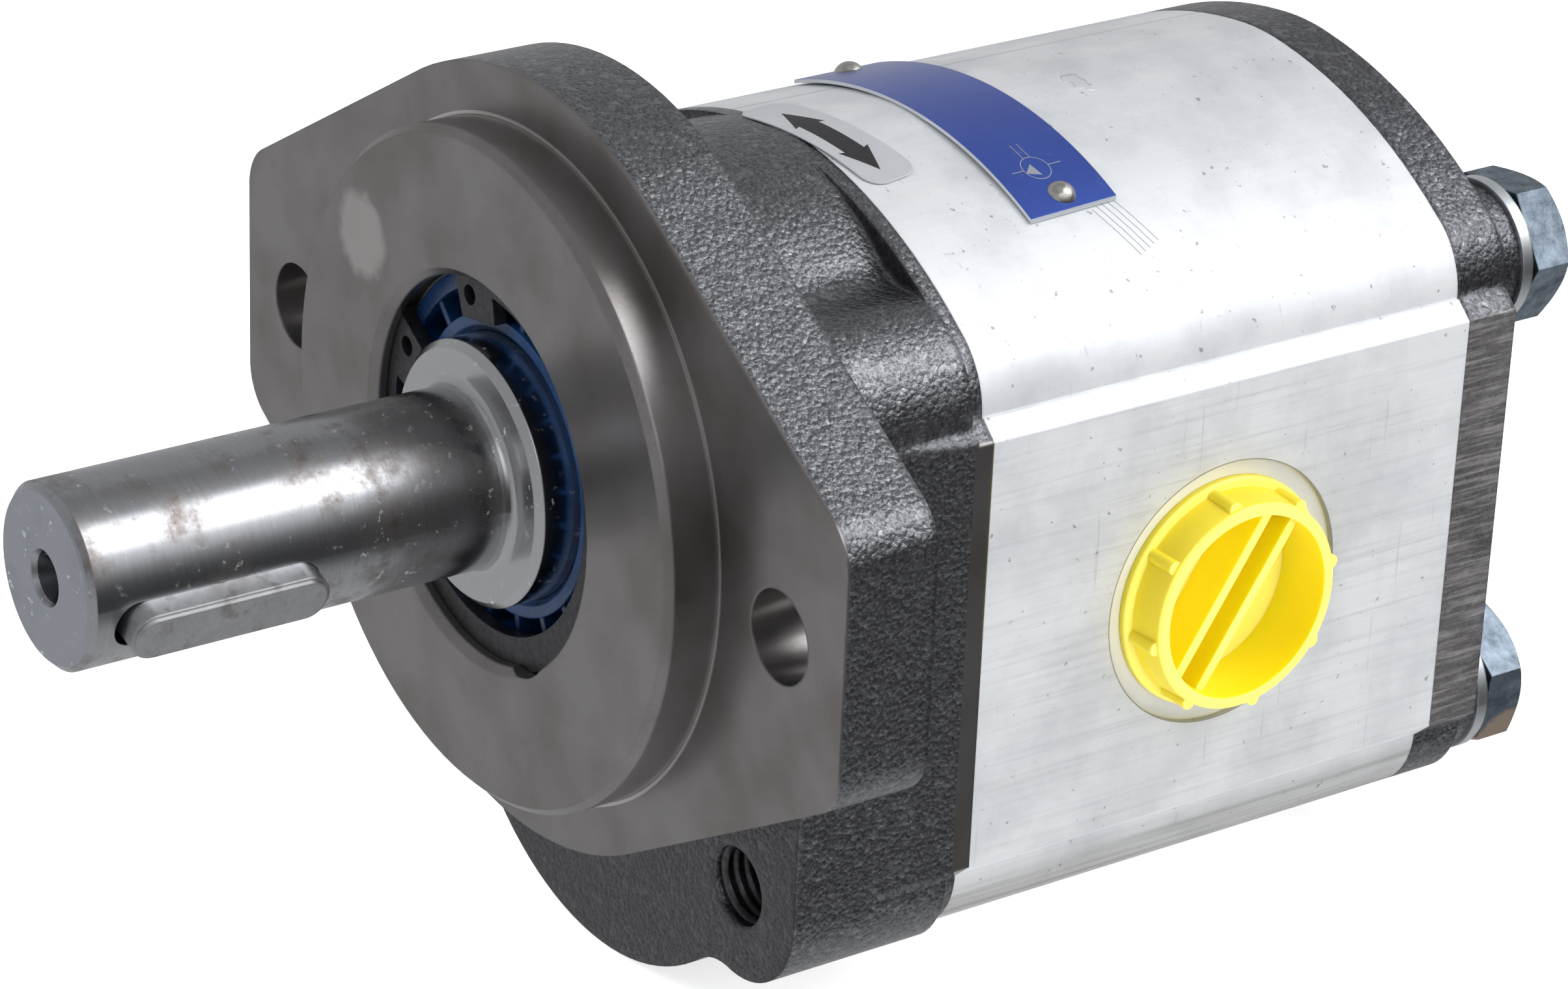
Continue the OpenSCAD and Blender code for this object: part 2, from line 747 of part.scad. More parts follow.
module race_groove() {
    rotate([-90, 0, 0]) rotate_extrude()
        translate([pitch_r, (bearing_front + bearing_rear) / 2]) circle(ball_d / 2 + race_play);
}

module bearing_outer_ring() {
    color("silver") difference() {
        turned([
            [bore_d / 2 - race_wall, bearing_front], [bore_d / 2 - seat_play, bearing_front],
            [bore_d / 2 - seat_play, bearing_rear], [bore_d / 2 - race_wall, bearing_rear]
        ]);
        race_groove();
    }
}

module bearing_inner_ring() {
    color("silver") difference() {
        turned([
            [seat_d / 2, bearing_front], [seat_d / 2 + race_wall, bearing_front],
            [seat_d / 2 + race_wall, bearing_rear], [seat_d / 2, bearing_rear]
        ]);
        race_groove();
    }
}

module at_balls() {
    for (i = [0:ball_count - 1]) rotate([0, i * 360 / ball_count, 0])
        translate([pitch_r, (bearing_front + bearing_rear) / 2, 0]) children();
}

module bearing_balls() {
    color("silver") at_balls() sphere(d = ball_d, $fn = 36);
}

module bearing_cage() {
    middle = (bearing_front + bearing_rear) / 2;
    in_r = pitch_r - cage_wall / 2;
    out_r = pitch_r + cage_wall / 2;
    front = middle - cage_w / 2;
    color("goldenrod") difference() {
        turned([[in_r, front], [out_r, front], [out_r, front + cage_w], [in_r, front + cage_w]]);
        at_balls() rotate([0, 90, 0]) cylinder(r = ball_d / 2 + groove_play, h = 4, center = true);
    }
}

// External retaining ring behind the bearing's inner ring
module shaft_clip() {
    groove_r = seat_d / 2 - clip_groove_depth;
    opening = 6.8;
    color("dimgray") slab(clip_front, clip_rear) difference() {
        circle(groove_r + clip_height + groove_play);
        circle(groove_r + groove_play);
        polygon([[0, 0], [seat_d, -opening], [seat_d, opening]]);
    }
}

// A bearing block: two joined rings that carry one pair of bushes and seal the gears' sides
module bearing_block(y0, seal_y) {
    color("gainsboro") difference() {
        slab(y0, y0 + block_l) twin_bore_outline(block_r);
        slab(y0 - CUT, y0 + block_l + CUT) twin_bore_outline(bush_r + seat_play);
        slab(seal_y, seal_y + block_seal_h)
            twin_ring(block_seal_in - groove_play, block_seal_w + 2 * groove_play);
    }
}

module front_bearing_block() {
    bearing_block(front_joint, front_joint);
}

module rear_bearing_block() {
    bearing_block(rear_joint - block_l, rear_joint - block_seal_h);
}

module bush(y0, z) {
    length = block_l - 1;
    color("peru") translate([0, 0, z]) difference() {
        bar(bush_r, y0 + 0.5, y0 + 0.5 + length);
        bar(journal_r, y0 - CUT, y0 + block_l + CUT);
    }
}

module front_drive_bush() {
    bush(front_joint, 0);
}

module front_driven_bush() {
    bush(front_joint, -gear_gap);
}

module rear_drive_bush() {
    bush(rear_joint - block_l, 0);
}

module rear_driven_bush() {
    bush(rear_joint - block_l, -gear_gap);
}

module front_joint_seal() {
    color("black") slab(front_joint - joint_seal_h, front_joint) stadium_ring(joint_seal_in, joint_seal_w);
}

module rear_joint_seal() {
    color("black") slab(rear_joint, rear_joint + joint_seal_h) stadium_ring(joint_seal_in, joint_seal_w);
}

module front_block_seal() {
    color("darkgreen") slab(front_joint, front_joint + block_seal_h) twin_ring(block_seal_in, block_seal_w);
}

module rear_block_seal() {
    color("darkgreen") slab(rear_joint - block_seal_h, rear_joint) twin_ring(block_seal_in, block_seal_w);
}

module dowel_pair(y) {
    color("silver") for (sx = [-1, 1])
        bar(dowel_d / 2, y - dowel_l / 2, y + dowel_l / 2, x = sx * dowel_x, z = mid_z);
}

module front_dowels() {
    dowel_pair(front_joint);
}

module rear_dowels() {
    dowel_pair(rear_joint);
}

// Hexagon-head bolt pushed in from the rear, with the washer at y = 0. A round bearing face keeps
// the hexagon off the washer
module hex_bolt(turn) {
    corner = bolt_af / 2 / cos(30);
    intersection() {
        rotate([-90, turn, 0]) translate([0, 0, bearing_face_h])
            cylinder(r = corner, h = bolt_head_h - bearing_face_h, $fn = 6);
        turned([
            [0, 0], [corner + 0.1, 0], [corner + 0.1, bolt_head_h - 1.1],
            [corner - 1.4, bolt_head_h], [0, bolt_head_h]
        ]);
    }
    turned([
        [0, -bolt_l], [bolt_d / 2 - 1, -bolt_l], [bolt_d / 2, -bolt_l + 1], [bolt_d / 2, 0],
        [bearing_face_r, 0], [bearing_face_r, 2 * bearing_face_h], [0, 2 * bearing_face_h]
    ]);
}

module clamp_bolts() {
    color("slategray") translate([0, rear_face + washer_t, 0])
        for (sx = [-1, 1], sz = [-1, 1])
            translate([sx * bolt_x, 0, mid_z + sz * bolt_z]) hex_bolt(sz > 0 ? -3 : -22 * sx);
}

module bolt_washers() {
    color("whitesmoke") at_bolts() difference() {
        bar(washer_d / 2, rear_face, rear_face + washer_t);
        bar(bolt_d / 2 + washer_play, rear_face - CUT, rear_face + washer_t + CUT);
    }
}

// Moulded thread protector: ribbed cap with a recess crossed by two grip bars
module port_plug() {
    rim_r = plug_rim_d / 2;
    end_r = plug_d / 2;
    recess_r = plug_recess_d / 2;
    floor_z = plug_h - plug_recess_h;
    shank_r = port_d / 2 - seat_play;
    ribs = 8;
    bar_w = 1.3;
    bar_at = 2.2;
    bar_drop = 2.4;
    wall = 1.6;
    floor_t = 1.4;
    difference() {
        union() {
            rotate_extrude() polygon([
                [0, -plug_shank_l], [shank_r - 1, -plug_shank_l], [shank_r, -plug_shank_l + 1],
                [shank_r, 0], [rim_r, 0], [rim_r, 0.8], [rim_r - 0.3, 1.1], [end_r + 0.3, 1.1],
                [end_r, plug_h - 0.3], [end_r - 0.3, plug_h], [0, plug_h]
            ]);
            for (i = [0:ribs - 1]) rotate(i * 360 / ribs + rib_turn)
                translate([end_r + 0.1, 0, 0.5]) cylinder(r = 0.9, h = plug_h - 1.1);
        }
        translate([0, 0, floor_z]) cylinder(r = recess_r, h = plug_recess_h + CUT);
        translate([0, 0, -plug_shank_l - CUT])
            cylinder(r = shank_r - wall, h = plug_shank_l + floor_z - floor_t + CUT);
    }
    intersection() {
        translate([0, 0, floor_z - 0.2]) cylinder(r = recess_r + 0.2, h = plug_recess_h);
        for (s = [-1, 1]) rotate(bar_turn)
            translate([-recess_r - 1, s * bar_at - bar_w / 2, floor_z - 0.2])
                cube([2 * recess_r + 2, bar_w, plug_recess_h - bar_drop + 0.2]);
    }
}

module right_port_plug() {
    color("gold") at_port() port_plug();
}

module left_port_plug() {
    color("gold") mirror([1, 0, 0]) at_port() port_plug();
}

module drain_plug() {
    flange_h = 2.4;
    shank_l = 8;
    shank_r = drain_d / 2 - seat_play;
    flange_r = drain_spot_d / 2 - 1.5;
    wall = 1.6;
    color("gold") translate([0, rear_face - drain_spot_depth, mid_z]) difference() {
        turned([
            [0, -shank_l], [shank_r - 0.6, -shank_l], [shank_r, 0.6 - shank_l], [shank_r, 0],
            [flange_r, 0], [flange_r, flange_h], [0, flange_h]
        ]);
        bar(drain_d / 2 - wall, wall - shank_l, flange_h + CUT);
    }
}

module name_plate() {
    color("navy") difference() {
        intersection() {
            slab(plate_y - plate_w, plate_y + plate_w) translate([0, plate_centre_z]) difference() {
                circle(plate_r + plate_t);
                circle(plate_r);
            }
            translate([0, plate_y, 0]) rotate(plate_turn) linear_extrude(2 * crown_r)
                translate([-plate_left, -plate_w / 2]) square([plate_left + plate_right, plate_w]);
        }
        at_rivets() translate([0, 0, -3]) cylinder(r = rivet_shank_r + seat_play, h = 6);
    }
}

module plate_rivets() {
    dome_h = 1.1;
    dome_r = (rivet_d ^ 2 / 4 + dome_h ^ 2) / (2 * dome_h);
    color("silver") at_rivets() {
        intersection() {
            translate([0, 0, dome_h - dome_r]) sphere(dome_r);
            cylinder(r = rivet_d, h = dome_h + 1);
        }
        translate([0, 0, -rivet_depth + 0.5]) cylinder(r = rivet_shank_r, h = rivet_depth);
    }
}

module direction_label() {
    label_r = 50.5;
    label_x = 3.2;
    label_y = front_joint + 3.4;
    label_front = front_joint - band_w + 0.1;
    corner = 2.4;
    color("gainsboro") intersection() {
        slab(label_front, front_joint + 20) intersection() {
            translate([0, crown_r + seat_play - label_r]) difference() {
                circle(label_r + label_t);
                circle(label_r);
            }
            translate([-label_l, crown_r / 2]) square([2 * label_l, crown_r]);
        }
        translate([label_x, label_y, crown_r / 2]) rotate(label_tilt) linear_extrude(crown_r) {
            square([label_l - 2 * corner, label_w], center = true);
            square([label_l, label_w - 2 * corner], center = true);
            for (sx = [-1, 1], sy = [-1, 1])
                translate([sx * (label_l / 2 - corner), sy * (label_w / 2 - corner)]) circle(corner);
        }
    }
}

front_cover();
gear_housing();
rear_cover();
drive_shaft();
shaft_key();
drive_gear();
driven_gear();
shaft_seal();
seal_spring();
seal_ring();
bearing_outer_ring();
bearing_inner_ring();
bearing_balls();
bearing_cage();
shaft_clip();
front_bearing_block();
rear_bearing_block();
front_drive_bush();
front_driven_bush();
rear_drive_bush();
rear_driven_bush();
front_joint_seal();
rear_joint_seal();
front_block_seal();
rear_block_seal();
front_dowels();
rear_dowels();
clamp_bolts();
bolt_washers();
right_port_plug();
left_port_plug();
drain_plug();
name_plate();
plate_rivets();
direction_label();
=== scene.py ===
import math

import bmesh
import bpy
from mathutils import Matrix, Vector


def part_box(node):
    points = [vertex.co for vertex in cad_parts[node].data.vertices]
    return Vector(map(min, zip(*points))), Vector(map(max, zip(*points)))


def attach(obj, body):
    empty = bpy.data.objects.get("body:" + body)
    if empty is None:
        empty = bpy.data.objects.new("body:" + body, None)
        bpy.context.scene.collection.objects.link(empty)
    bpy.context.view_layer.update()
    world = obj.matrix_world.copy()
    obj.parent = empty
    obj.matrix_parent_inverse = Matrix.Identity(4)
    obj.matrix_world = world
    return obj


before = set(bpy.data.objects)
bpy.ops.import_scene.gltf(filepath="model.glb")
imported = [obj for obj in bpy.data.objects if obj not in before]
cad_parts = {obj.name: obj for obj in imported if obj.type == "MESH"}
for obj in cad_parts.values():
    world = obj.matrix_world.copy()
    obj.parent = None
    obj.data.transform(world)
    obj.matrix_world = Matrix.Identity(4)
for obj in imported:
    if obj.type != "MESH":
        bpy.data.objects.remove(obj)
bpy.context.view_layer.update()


# Camera
# A long lens looks down on the shaft end and the right-hand port, level but for a slight tilt.
# Its place comes from the photograph's own perspective, in the motor's frame.
camera_at = Vector((0.47853, -0.30286, 0.26073))
camera_turn, camera_drop, camera_tilt = [math.radians(a) for a in (54.561, 24.993, 2.407)]
focal_pixels, picture_pixels = 8150.28, 2408
back = Vector((
    math.sin(camera_turn) * math.cos(camera_drop),
    -math.cos(camera_turn) * math.cos(camera_drop),
    math.sin(camera_drop),
))
level_right = (-back).cross(Vector((0, 0, 1))).normalized()
level_up = level_right.cross(-back)
right = level_right * math.cos(camera_tilt) + level_up * math.sin(camera_tilt)
up = level_up * math.cos(camera_tilt) - level_right * math.sin(camera_tilt)
lens = bpy.data.cameras.new("camera")
lens.sensor_fit = "HORIZONTAL"
lens.sensor_width = 36.0
lens.lens = focal_pixels / picture_pixels * 36.0
lens.clip_start = 0.05
camera = bpy.data.objects.new("camera", lens)
axes = Matrix((right, up, back)).transposed().to_4x4()
camera.matrix_world = Matrix.Translation(camera_at) @ axes
bpy.context.scene.collection.objects.link(camera)
bpy.context.scene.camera = camera


# Front cover
# One grey iron sand casting: flange, pilot, neck and bolt lugs. The flange face, the pilot, the
# bores and the joint's flats are machined, and the rest keeps the rough skin that the sand left.
mm = 0.001  # a length times mm is in metres; a pattern's size stays in millimetres
of_colours = {"out": 2, "data_type": "RGBA"}  # for a Mix node that mixes colours


def linear(code):
    """An sRGB hex colour as Blender's linear RGBA."""
    parts = [int(code[i:i + 2], 16) / 255 for i in (1, 3, 5)]
    return [c / 12.92 if c <= 0.04045 else ((c + 0.055) / 1.055) ** 2.4 for c in parts] + [1.0]


def add(tree, kind, sockets=None, out=0, **settings):
    """One shader node with its settings, values and links. Gives back one of its outputs."""
    made = tree.nodes.new("ShaderNode" + kind)
    for name, value in settings.items():
        setattr(made, name, value)
    for key, value in (sockets or {}).items():
        if isinstance(value, bpy.types.NodeSocket):
            tree.links.new(value, made.inputs[key])
        else:
            made.inputs[key].default_value = value
    return made.outputs[out]


def finish(name, sockets):
    """A new material: its node tree, its shader and the place on the surface in metres.

    A pattern that follows that place has a scale of 1000 over its size in millimetres.
    """
    made = bpy.data.materials.new(name)
    made.use_nodes = True
    tree = made.node_tree
    shader = tree.nodes["Principled BSDF"]
    for key, value in sockets.items():
        shader.inputs[key].default_value = value
    return made, tree, shader.inputs, add(tree, "TexCoord", out="Object")


def dress(material, *names):
    """Gives CAD nodes their material."""
    for name in names:
        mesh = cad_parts[name].data
        mesh.materials.clear()
        mesh.materials.append(material)


def grey_iron(name, skin_colours, cut_look, cut_where, cut_mark, pale_spots):
    """Grey cast iron from a sand mould, partly machined.

    The sand leaves a dark, softly lumpy skin of round grains. Some grains are tinted pale as a
    painted glint, and skin that faces forward, in the flange's shelter, is darkened as painted
    shade. Cut faces are smoother and browner, with the cutter's marks. Grains, pits and
    graphite flakes are drawn about twice as coarse as they are, because they are too fine to
    show otherwise.
    """
    grain, pit, lump, cloud, flake = 0.75, 0.4, 2.6, 13, 0.4
    worn_edge, cast_edge = 0.5 * mm, 1.4 * mm
    lump_depth, grain_depth, cut_depth = 0.4 * mm, 0.15 * mm, 0.002 * mm
    skin_metal, skin_rough = 0.97, 0.28
    skin_dark, skin_light = skin_colours
    cut_clean, cut_stained, cut_metal = cut_look
    made, tree, shader, place = finish(name, {"Anisotropic": 0.6, "Anisotropic Rotation": 0.25})
    tree.links.new(add(tree, "Tangent", direction_type="RADIAL", axis="Y"), shader["Tangent"])
    cut = cut_where(tree, place)
    mark = cut_mark(tree, place)

    grains = add(tree, "TexVoronoi", {"Vector": place, "Scale": 1000 / grain}, feature="F1")
    # Painted glints: a share of the grains gets a pale colour that stands in for sparkle in the
    # light.
    grain_tone = add(tree, "SeparateXYZ", {0: grains.node.outputs["Color"]}, "X")
    painted_glint = add(tree, "MapRange", {"Value": grain_tone, "From Min": 0.72, "To Max": 0.36})
    pits = add(tree, "TexNoise", {
        "Vector": place, "Scale": 1000 / pit, "Detail": 3.0, "Roughness": 0.6,
    })
    deep = add(tree, "MapRange", {"Value": pits, "From Min": 0.34, "From Max": 0.66})
    # Painted shade: skin that faces forward, in the flange's shelter, is darkened.
    frontward = add(tree, "SeparateXYZ", {0: add(tree, "TexCoord", out="Normal")}, "Y")
    forward_shade = add(tree, "MapRange", {
        "Value": frontward, "From Min": -0.5, "From Max": -0.9, "To Max": 0.62,
    })
    skin = add(tree, "Mix", {0: deep, 6: linear(skin_dark), 7: linear(skin_light)}, **of_colours)
    for share, over in ((painted_glint, "#c0c2c6"), (forward_shade, "#2c2a2b")):
        skin = add(tree, "Mix", {0: share, 6: skin, 7: linear(over)}, **of_colours)

    clouds = add(tree, "TexNoise", {"Vector": place, "Scale": 1000 / cloud, "Detail": 4.0})
    stain = add(tree, "MapRange", {"Value": clouds, "From Min": 0.38, "From Max": 0.66})
    flakes = add(tree, "TexNoise", {"Vector": place, "Scale": 1000 / flake, "Detail": 3.0})
    flakes = add(tree, "MapRange", {
        "Value": flakes, "From Min": 0.5, "From Max": 0.75, "To Max": 0.25,
    })
    metal = add(tree, "Mix", {
        0: stain, 6: linear(cut_clean), 7: linear(cut_stained),
    }, **of_colours)
    for share, over in ((flakes, "#6a6767"), (pale_spots(tree, place), "#cfcbc9")):
        metal = add(tree, "Mix", {0: share, 6: metal, 7: linear(over)}, **of_colours)
    tone = add(tree, "Mix", {0: cut, 6: skin, 7: metal}, **of_colours)
    tree.links.new(tone, shader["Base Color"])
    cut_rough = add(tree, "MapRange", {"Value": mark, "To Min": 0.26, "To Max": 0.27})
    tree.links.new(add(tree, "Mix", {0: cut, 2: skin_rough, 3: cut_rough}), shader["Roughness"])
    tree.links.new(add(tree, "Mix", {0: cut, 2: skin_metal, 3: cut_metal}), shader["Metallic"])

    lumps = add(tree, "TexNoise", {"Vector": place, "Scale": 1000 / lump, "Detail": 2.0})
    worn = add(tree, "Bevel", {"Radius": worn_edge}, samples=4)
    soft = add(tree, "Bevel", {"Radius": cast_edge}, samples=6)
    skin_way = add(tree, "Bump", {
        "Height": lumps, "Distance": lump_depth, "Strength": 0.4, "Normal": soft,
    })
    height = add(tree, "Math", {0: grains, 1: -1.0, 2: pits}, operation="MULTIPLY_ADD")
    skin_way = add(tree, "Bump", {
        "Height": height, "Distance": grain_depth, "Strength": 0.7, "Normal": skin_way,
    })
    cut_way = add(tree, "Bump", {
        "Height": mark, "Distance": cut_depth, "Strength": 0.12, "Normal": worn,
    })
    way = add(tree, "Mix", {0: cut, 4: skin_way, 5: cut_way}, 1, data_type="VECTOR")
    tree.links.new(add(tree, "VectorMath", {0: way}, operation="NORMALIZE"), shader["Normal"])
    return made


def front_cuts(tree, place):
    """The faces cut on the lathe and the mill: flange, pilot, bore, mounting holes, side flats."""
    flange_face_y, joint_band_y, side_flat_x = 0.3 * mm, 33.5 * mm, 43.05 * mm
    seal_bore, left_hole, right_hole = (0, 25.5 * mm), (-53.2 * mm, 5.7 * mm), (53.2 * mm, 5.7 * mm)
    y = add(tree, "SeparateXYZ", {0: place}, "Y")
    face = add(tree, "Math", {0: y, 1: flange_face_y}, operation="LESS_THAN")
    x = add(tree, "Math", {0: add(tree, "SeparateXYZ", {0: place}, "X")}, operation="ABSOLUTE")
    band = add(tree, "Math", {0: y, 1: joint_band_y}, operation="GREATER_THAN")
    flat = add(tree, "Math", {0: x, 1: side_flat_x}, operation="GREATER_THAN")
    flat = add(tree, "Math", {0: flat, 1: band}, operation="MULTIPLY")
    result = add(tree, "Math", {0: face, 1: flat}, operation="MAXIMUM")
    for hole_x, reach in (seal_bore, left_hole, right_hole):
        off = add(tree, "VectorMath", {0: place, 1: (hole_x, 0, 0)}, operation="SUBTRACT")
        off = add(tree, "VectorMath", {0: off, 1: (1, 0, 1)}, operation="MULTIPLY")
        off = add(tree, "VectorMath", {0: off}, "Value", operation="LENGTH")
        inside = add(tree, "Math", {0: off, 1: reach}, operation="LESS_THAN")
        result = add(tree, "Math", {0: result, 1: inside}, operation="MAXIMUM")
    return result


def turning_marks(tree, place):
    """Faint rings round the shaft, from the lathe's feed of about a quarter of a millimetre.

    They are drawn 0.6 mm apart, because finer ones don't show in the render.
    """
    feed, wander, wander_size = 0.6 * mm, 0.2 * mm, 6
    flat = add(tree, "VectorMath", {0: place, 1: (1, 0, 1)}, operation="MULTIPLY")
    far = add(tree, "VectorMath", {0: flat}, "Value", operation="LENGTH")
    wobble = add(tree, "TexNoise", {"Vector": place, "Scale": 1000 / wander_size, "Detail": 3.0})
    far = add(tree, "Math", {0: wobble, 1: wander, 2: far}, operation="MULTIPLY_ADD")
    ring = add(tree, "Math", {0: far, 1: 2 * math.pi / feed}, operation="MULTIPLY")
    ring = add(tree, "Math", {0: ring}, operation="SINE")
    return add(tree, "MapRange", {"Value": ring, "From Min": -1})


def front_pale_spots(tree, place):
    """A worn patch on the pilot's face, and a painted highlight round the pilot's root."""
    patch_at = (-26 * mm, -6.8 * mm, 20.8 * mm)
    patch_grain, patch_rag, patch_edge, patch_core = 2.2, 3 * mm, 7.4 * mm, 5.8 * mm
    root_r, root_half, root_y, root_depth = 41.55 * mm, 0.2 * mm, 0, 0.4 * mm
    off = add(tree, "VectorMath", {0: place, 1: patch_at}, operation="SUBTRACT")
    off = add(tree, "VectorMath", {0: off}, "Value", operation="LENGTH")
    ragged = add(tree, "TexNoise", {"Vector": place, "Scale": 1000 / patch_grain, "Detail": 4.0})
    off = add(tree, "Math", {0: ragged, 1: patch_rag, 2: off}, operation="MULTIPLY_ADD")
    patch = add(tree, "MapRange", {
        "Value": off, "From Min": patch_edge, "From Max": patch_core, "To Max": 0.6,
    })
    # Painted highlight: a thin pale ring where the pilot's side meets the flange face.
    flat = add(tree, "VectorMath", {0: place, 1: (1, 0, 1)}, operation="MULTIPLY")
    far = add(tree, "VectorMath", {0: flat}, "Value", operation="LENGTH")
    root_highlight = add(tree, "Math", {0: far, 1: root_r, 2: root_half}, operation="COMPARE")
    y = add(tree, "SeparateXYZ", {0: place}, "Y")
    low = add(tree, "Math", {0: y, 1: root_y, 2: root_depth}, operation="COMPARE")
    root_highlight = add(tree, "Math", {0: root_highlight, 1: low}, operation="MULTIPLY")
    return add(tree, "Math", {0: root_highlight, 1: patch}, operation="MAXIMUM")


front_iron = grey_iron(
    "grey_iron_front_casting", ("#626367", "#949599"), ("#989596", "#86827f", 0.95),
    front_cuts, turning_marks, front_pale_spots,
)
dress(front_iron, "front_cover")


# Threads in the lower lugs
# The clamping bolts' tapped holes run out through the lugs, so their M10 thread shows there.
# The crests are cut from the casting, 1.5 mm apart, and shine where the tap polished them.
lug_x, lug_z, thread_from, thread_to = 30.1, -45.9, 12.9, 20.6
thread_wall_r, thread_crest_r, thread_pitch = 5.0, 4.3, 1.5


def helix_ridge(name, x, z, start, stop, wall, crest, pitch):
    """A thread's ridge inside a hole along Y, in millimetres. Its foot and crest are in pitches."""
    steps_per_turn, half_foot, half_crest = 40, 0.42, 0.1
    profile = ((wall, -half_foot), (crest, -half_crest), (crest, half_crest), (wall, half_foot))
    mesh = bmesh.new()
    rows = []
    count = int((stop - start) / pitch * steps_per_turn)
    for i in range(count + 1):
        turn = 2 * math.pi * i / steps_per_turn
        y = start + (stop - start) * i / count
        rows.append([
            mesh.verts.new((
                (x + r * math.cos(turn)) / 1000,
                (y + dy * pitch) / 1000,
                (z + r * math.sin(turn)) / 1000,
            ))
            for r, dy in profile
        ])
    for first, second in zip(rows, rows[1:]):
        for j in range(3):
            mesh.faces.new((first[j], first[j + 1], second[j + 1], second[j]))
    data = bpy.data.meshes.new(name)
    mesh.to_mesh(data)
    mesh.free()
    return data


def piece(name, data, material, smooth):
    """A new object that rides on the motor's body."""
    made = bpy.data.objects.new(name, data)
    bpy.context.scene.collection.objects.link(made)
    data.materials.append(material)
    data.polygons.foreach_set("use_smooth", [smooth] * len(data.polygons))
    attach(made, "motor")


def mottled(name, sockets, colours, size, drawn=(1, 1, 1), detail=3.0):
    """A material whose tone drifts between two colours, in spots of a size in millimetres.

    The spots are drawn out along an axis where its share is small.
    """
    made, tree, shader, place = finish(name, sockets)
    place = add(tree, "VectorMath", {0: place, 1: drawn}, operation="MULTIPLY")
    spots = add(tree, "TexNoise", {"Vector": place, "Scale": 1000 / size, "Detail": detail})
    first, second = [linear(code) for code in colours]
    tone = add(tree, "Mix", {0: spots, 6: first, 7: second}, **of_colours)
    tree.links.new(tone, shader["Base Color"])
    return made, tree, shader, spots


# Tapped grey iron: bright crests over dark, oily flanks.
thread_iron = mottled(
    "tapped_grey_iron", {"Metallic": 1.0, "Roughness": 0.36}, ("#3a3a3c", "#77777a"), 0.8
)[0]
for side, x in (("left", -lug_x), ("right", lug_x)):
    ridge = helix_ridge(
        f"{side}_lug_thread", x, lug_z, thread_from, thread_to,
        thread_wall_r, thread_crest_r, thread_pitch,
    )
    piece(f"{side}_lug_thread", ridge, thread_iron, True)


# Gear housing
# A length of drawn aluminium bar, sawn and faced at both ends. The die left fine lines along it,
# and storage and handling left grey clouds, specks, scratches and a dried drop on the crown.
die_line, drawn_band, milled_streak, grey_cloud, speck, rub_size = 0.35, 4, 0.8, 12, 1.2, 0.7
side_face_x = 42.5 * mm
port_at, spot_face_r, spot_edge_half = (0, 71.8 * mm, -16.2 * mm), 17 * mm, 0.14 * mm
scratch_way, scratch_normal = (0.9397, 0.342, 0), (-0.342, 0.9397, 0)
scratch_gap = 0.9 * mm
scratch_along, scratch_across = (48.9 * mm, 3.6 * mm), (51.5 * mm, 2.4 * mm)
scratch_height = (30 * mm, 30 * mm)
crown_line_x, crown_line_half, crown_from_z = -11.8 * mm, 0.12 * mm, 20 * mm
darker_from_z, darker_to_z = -46.5 * mm, -49 * mm
drop_at, drop_shape = (3.6 * mm, 76.3 * mm, 34.9 * mm), (0.8, 1.6, 1)
drop_grain, drop_rag, drop_edge, drop_core = 1.5, 2.8 * mm, 3.6 * mm, 3.1 * mm
drop_rough, spot_edge_share = 0.14, 0.6

# Drawn aluminium: a pale satin metal, nearly white in soft light, streaked along the bar.
housing_metal, tree, shader, place = finish("drawn_aluminium", {"Metallic": 0.6, "IOR": 1.5})
x_of, z_of = [add(tree, "SeparateXYZ", {0: place}, axis) for axis in "XZ"]
side_face = add(tree, "Math", {0: x_of}, operation="ABSOLUTE")
side_face = add(tree, "Math", {0: side_face, 1: side_face_x}, operation="GREATER_THAN")
drawn = add(tree, "VectorMath", {0: place, 1: (1, 0.02, 1)}, operation="MULTIPLY")
fine = add(tree, "TexNoise", {
    "Vector": drawn, "Scale": 1000 / die_line, "Detail": 4.0, "Roughness": 0.7,
})
broad = add(tree, "TexNoise", {
    "Vector": drawn, "Scale": 1000 / drawn_band, "Detail": 5.0, "Roughness": 0.65,
})
clouds = add(tree, "TexNoise", {
    "Vector": place, "Scale": 1000 / grey_cloud, "Detail": 5.0, "Roughness": 0.6,
})
dull = add(tree, "MapRange", {"Value": clouds, "From Min": 0.42, "From Max": 0.7, "To Max": 0.5})
brushed = add(tree, "TexNoise", {
    "Vector": drawn, "Scale": 1000 / milled_streak, "Detail": 5.0, "Roughness": 0.75,
})
brushed = add(tree, "MapRange", {
    "Value": brushed, "From Min": 0.5, "From Max": 0.75, "To Max": 0.3,
})
brushed = add(tree, "Math", {0: brushed, 1: side_face}, operation="MULTIPLY")
dots = add(tree, "TexNoise", {"Vector": place, "Scale": 1000 / speck, "Detail": 2.0})
specks = add(tree, "MapRange", {"Value": dots, "From Min": 0.7, "From Max": 0.76, "To Max": 0.6})
cross = add(tree, "VectorMath", {0: place, 1: (0.4, 1, 0.05)}, operation="MULTIPLY")
rubs = add(tree, "TexNoise", {"Vector": cross, "Scale": 1000 / rub_size, "Detail": 2.0})
rubs = add(tree, "MapRange", {"Value": rubs, "From Min": 0.69, "From Max": 0.75, "To Max": 0.25})

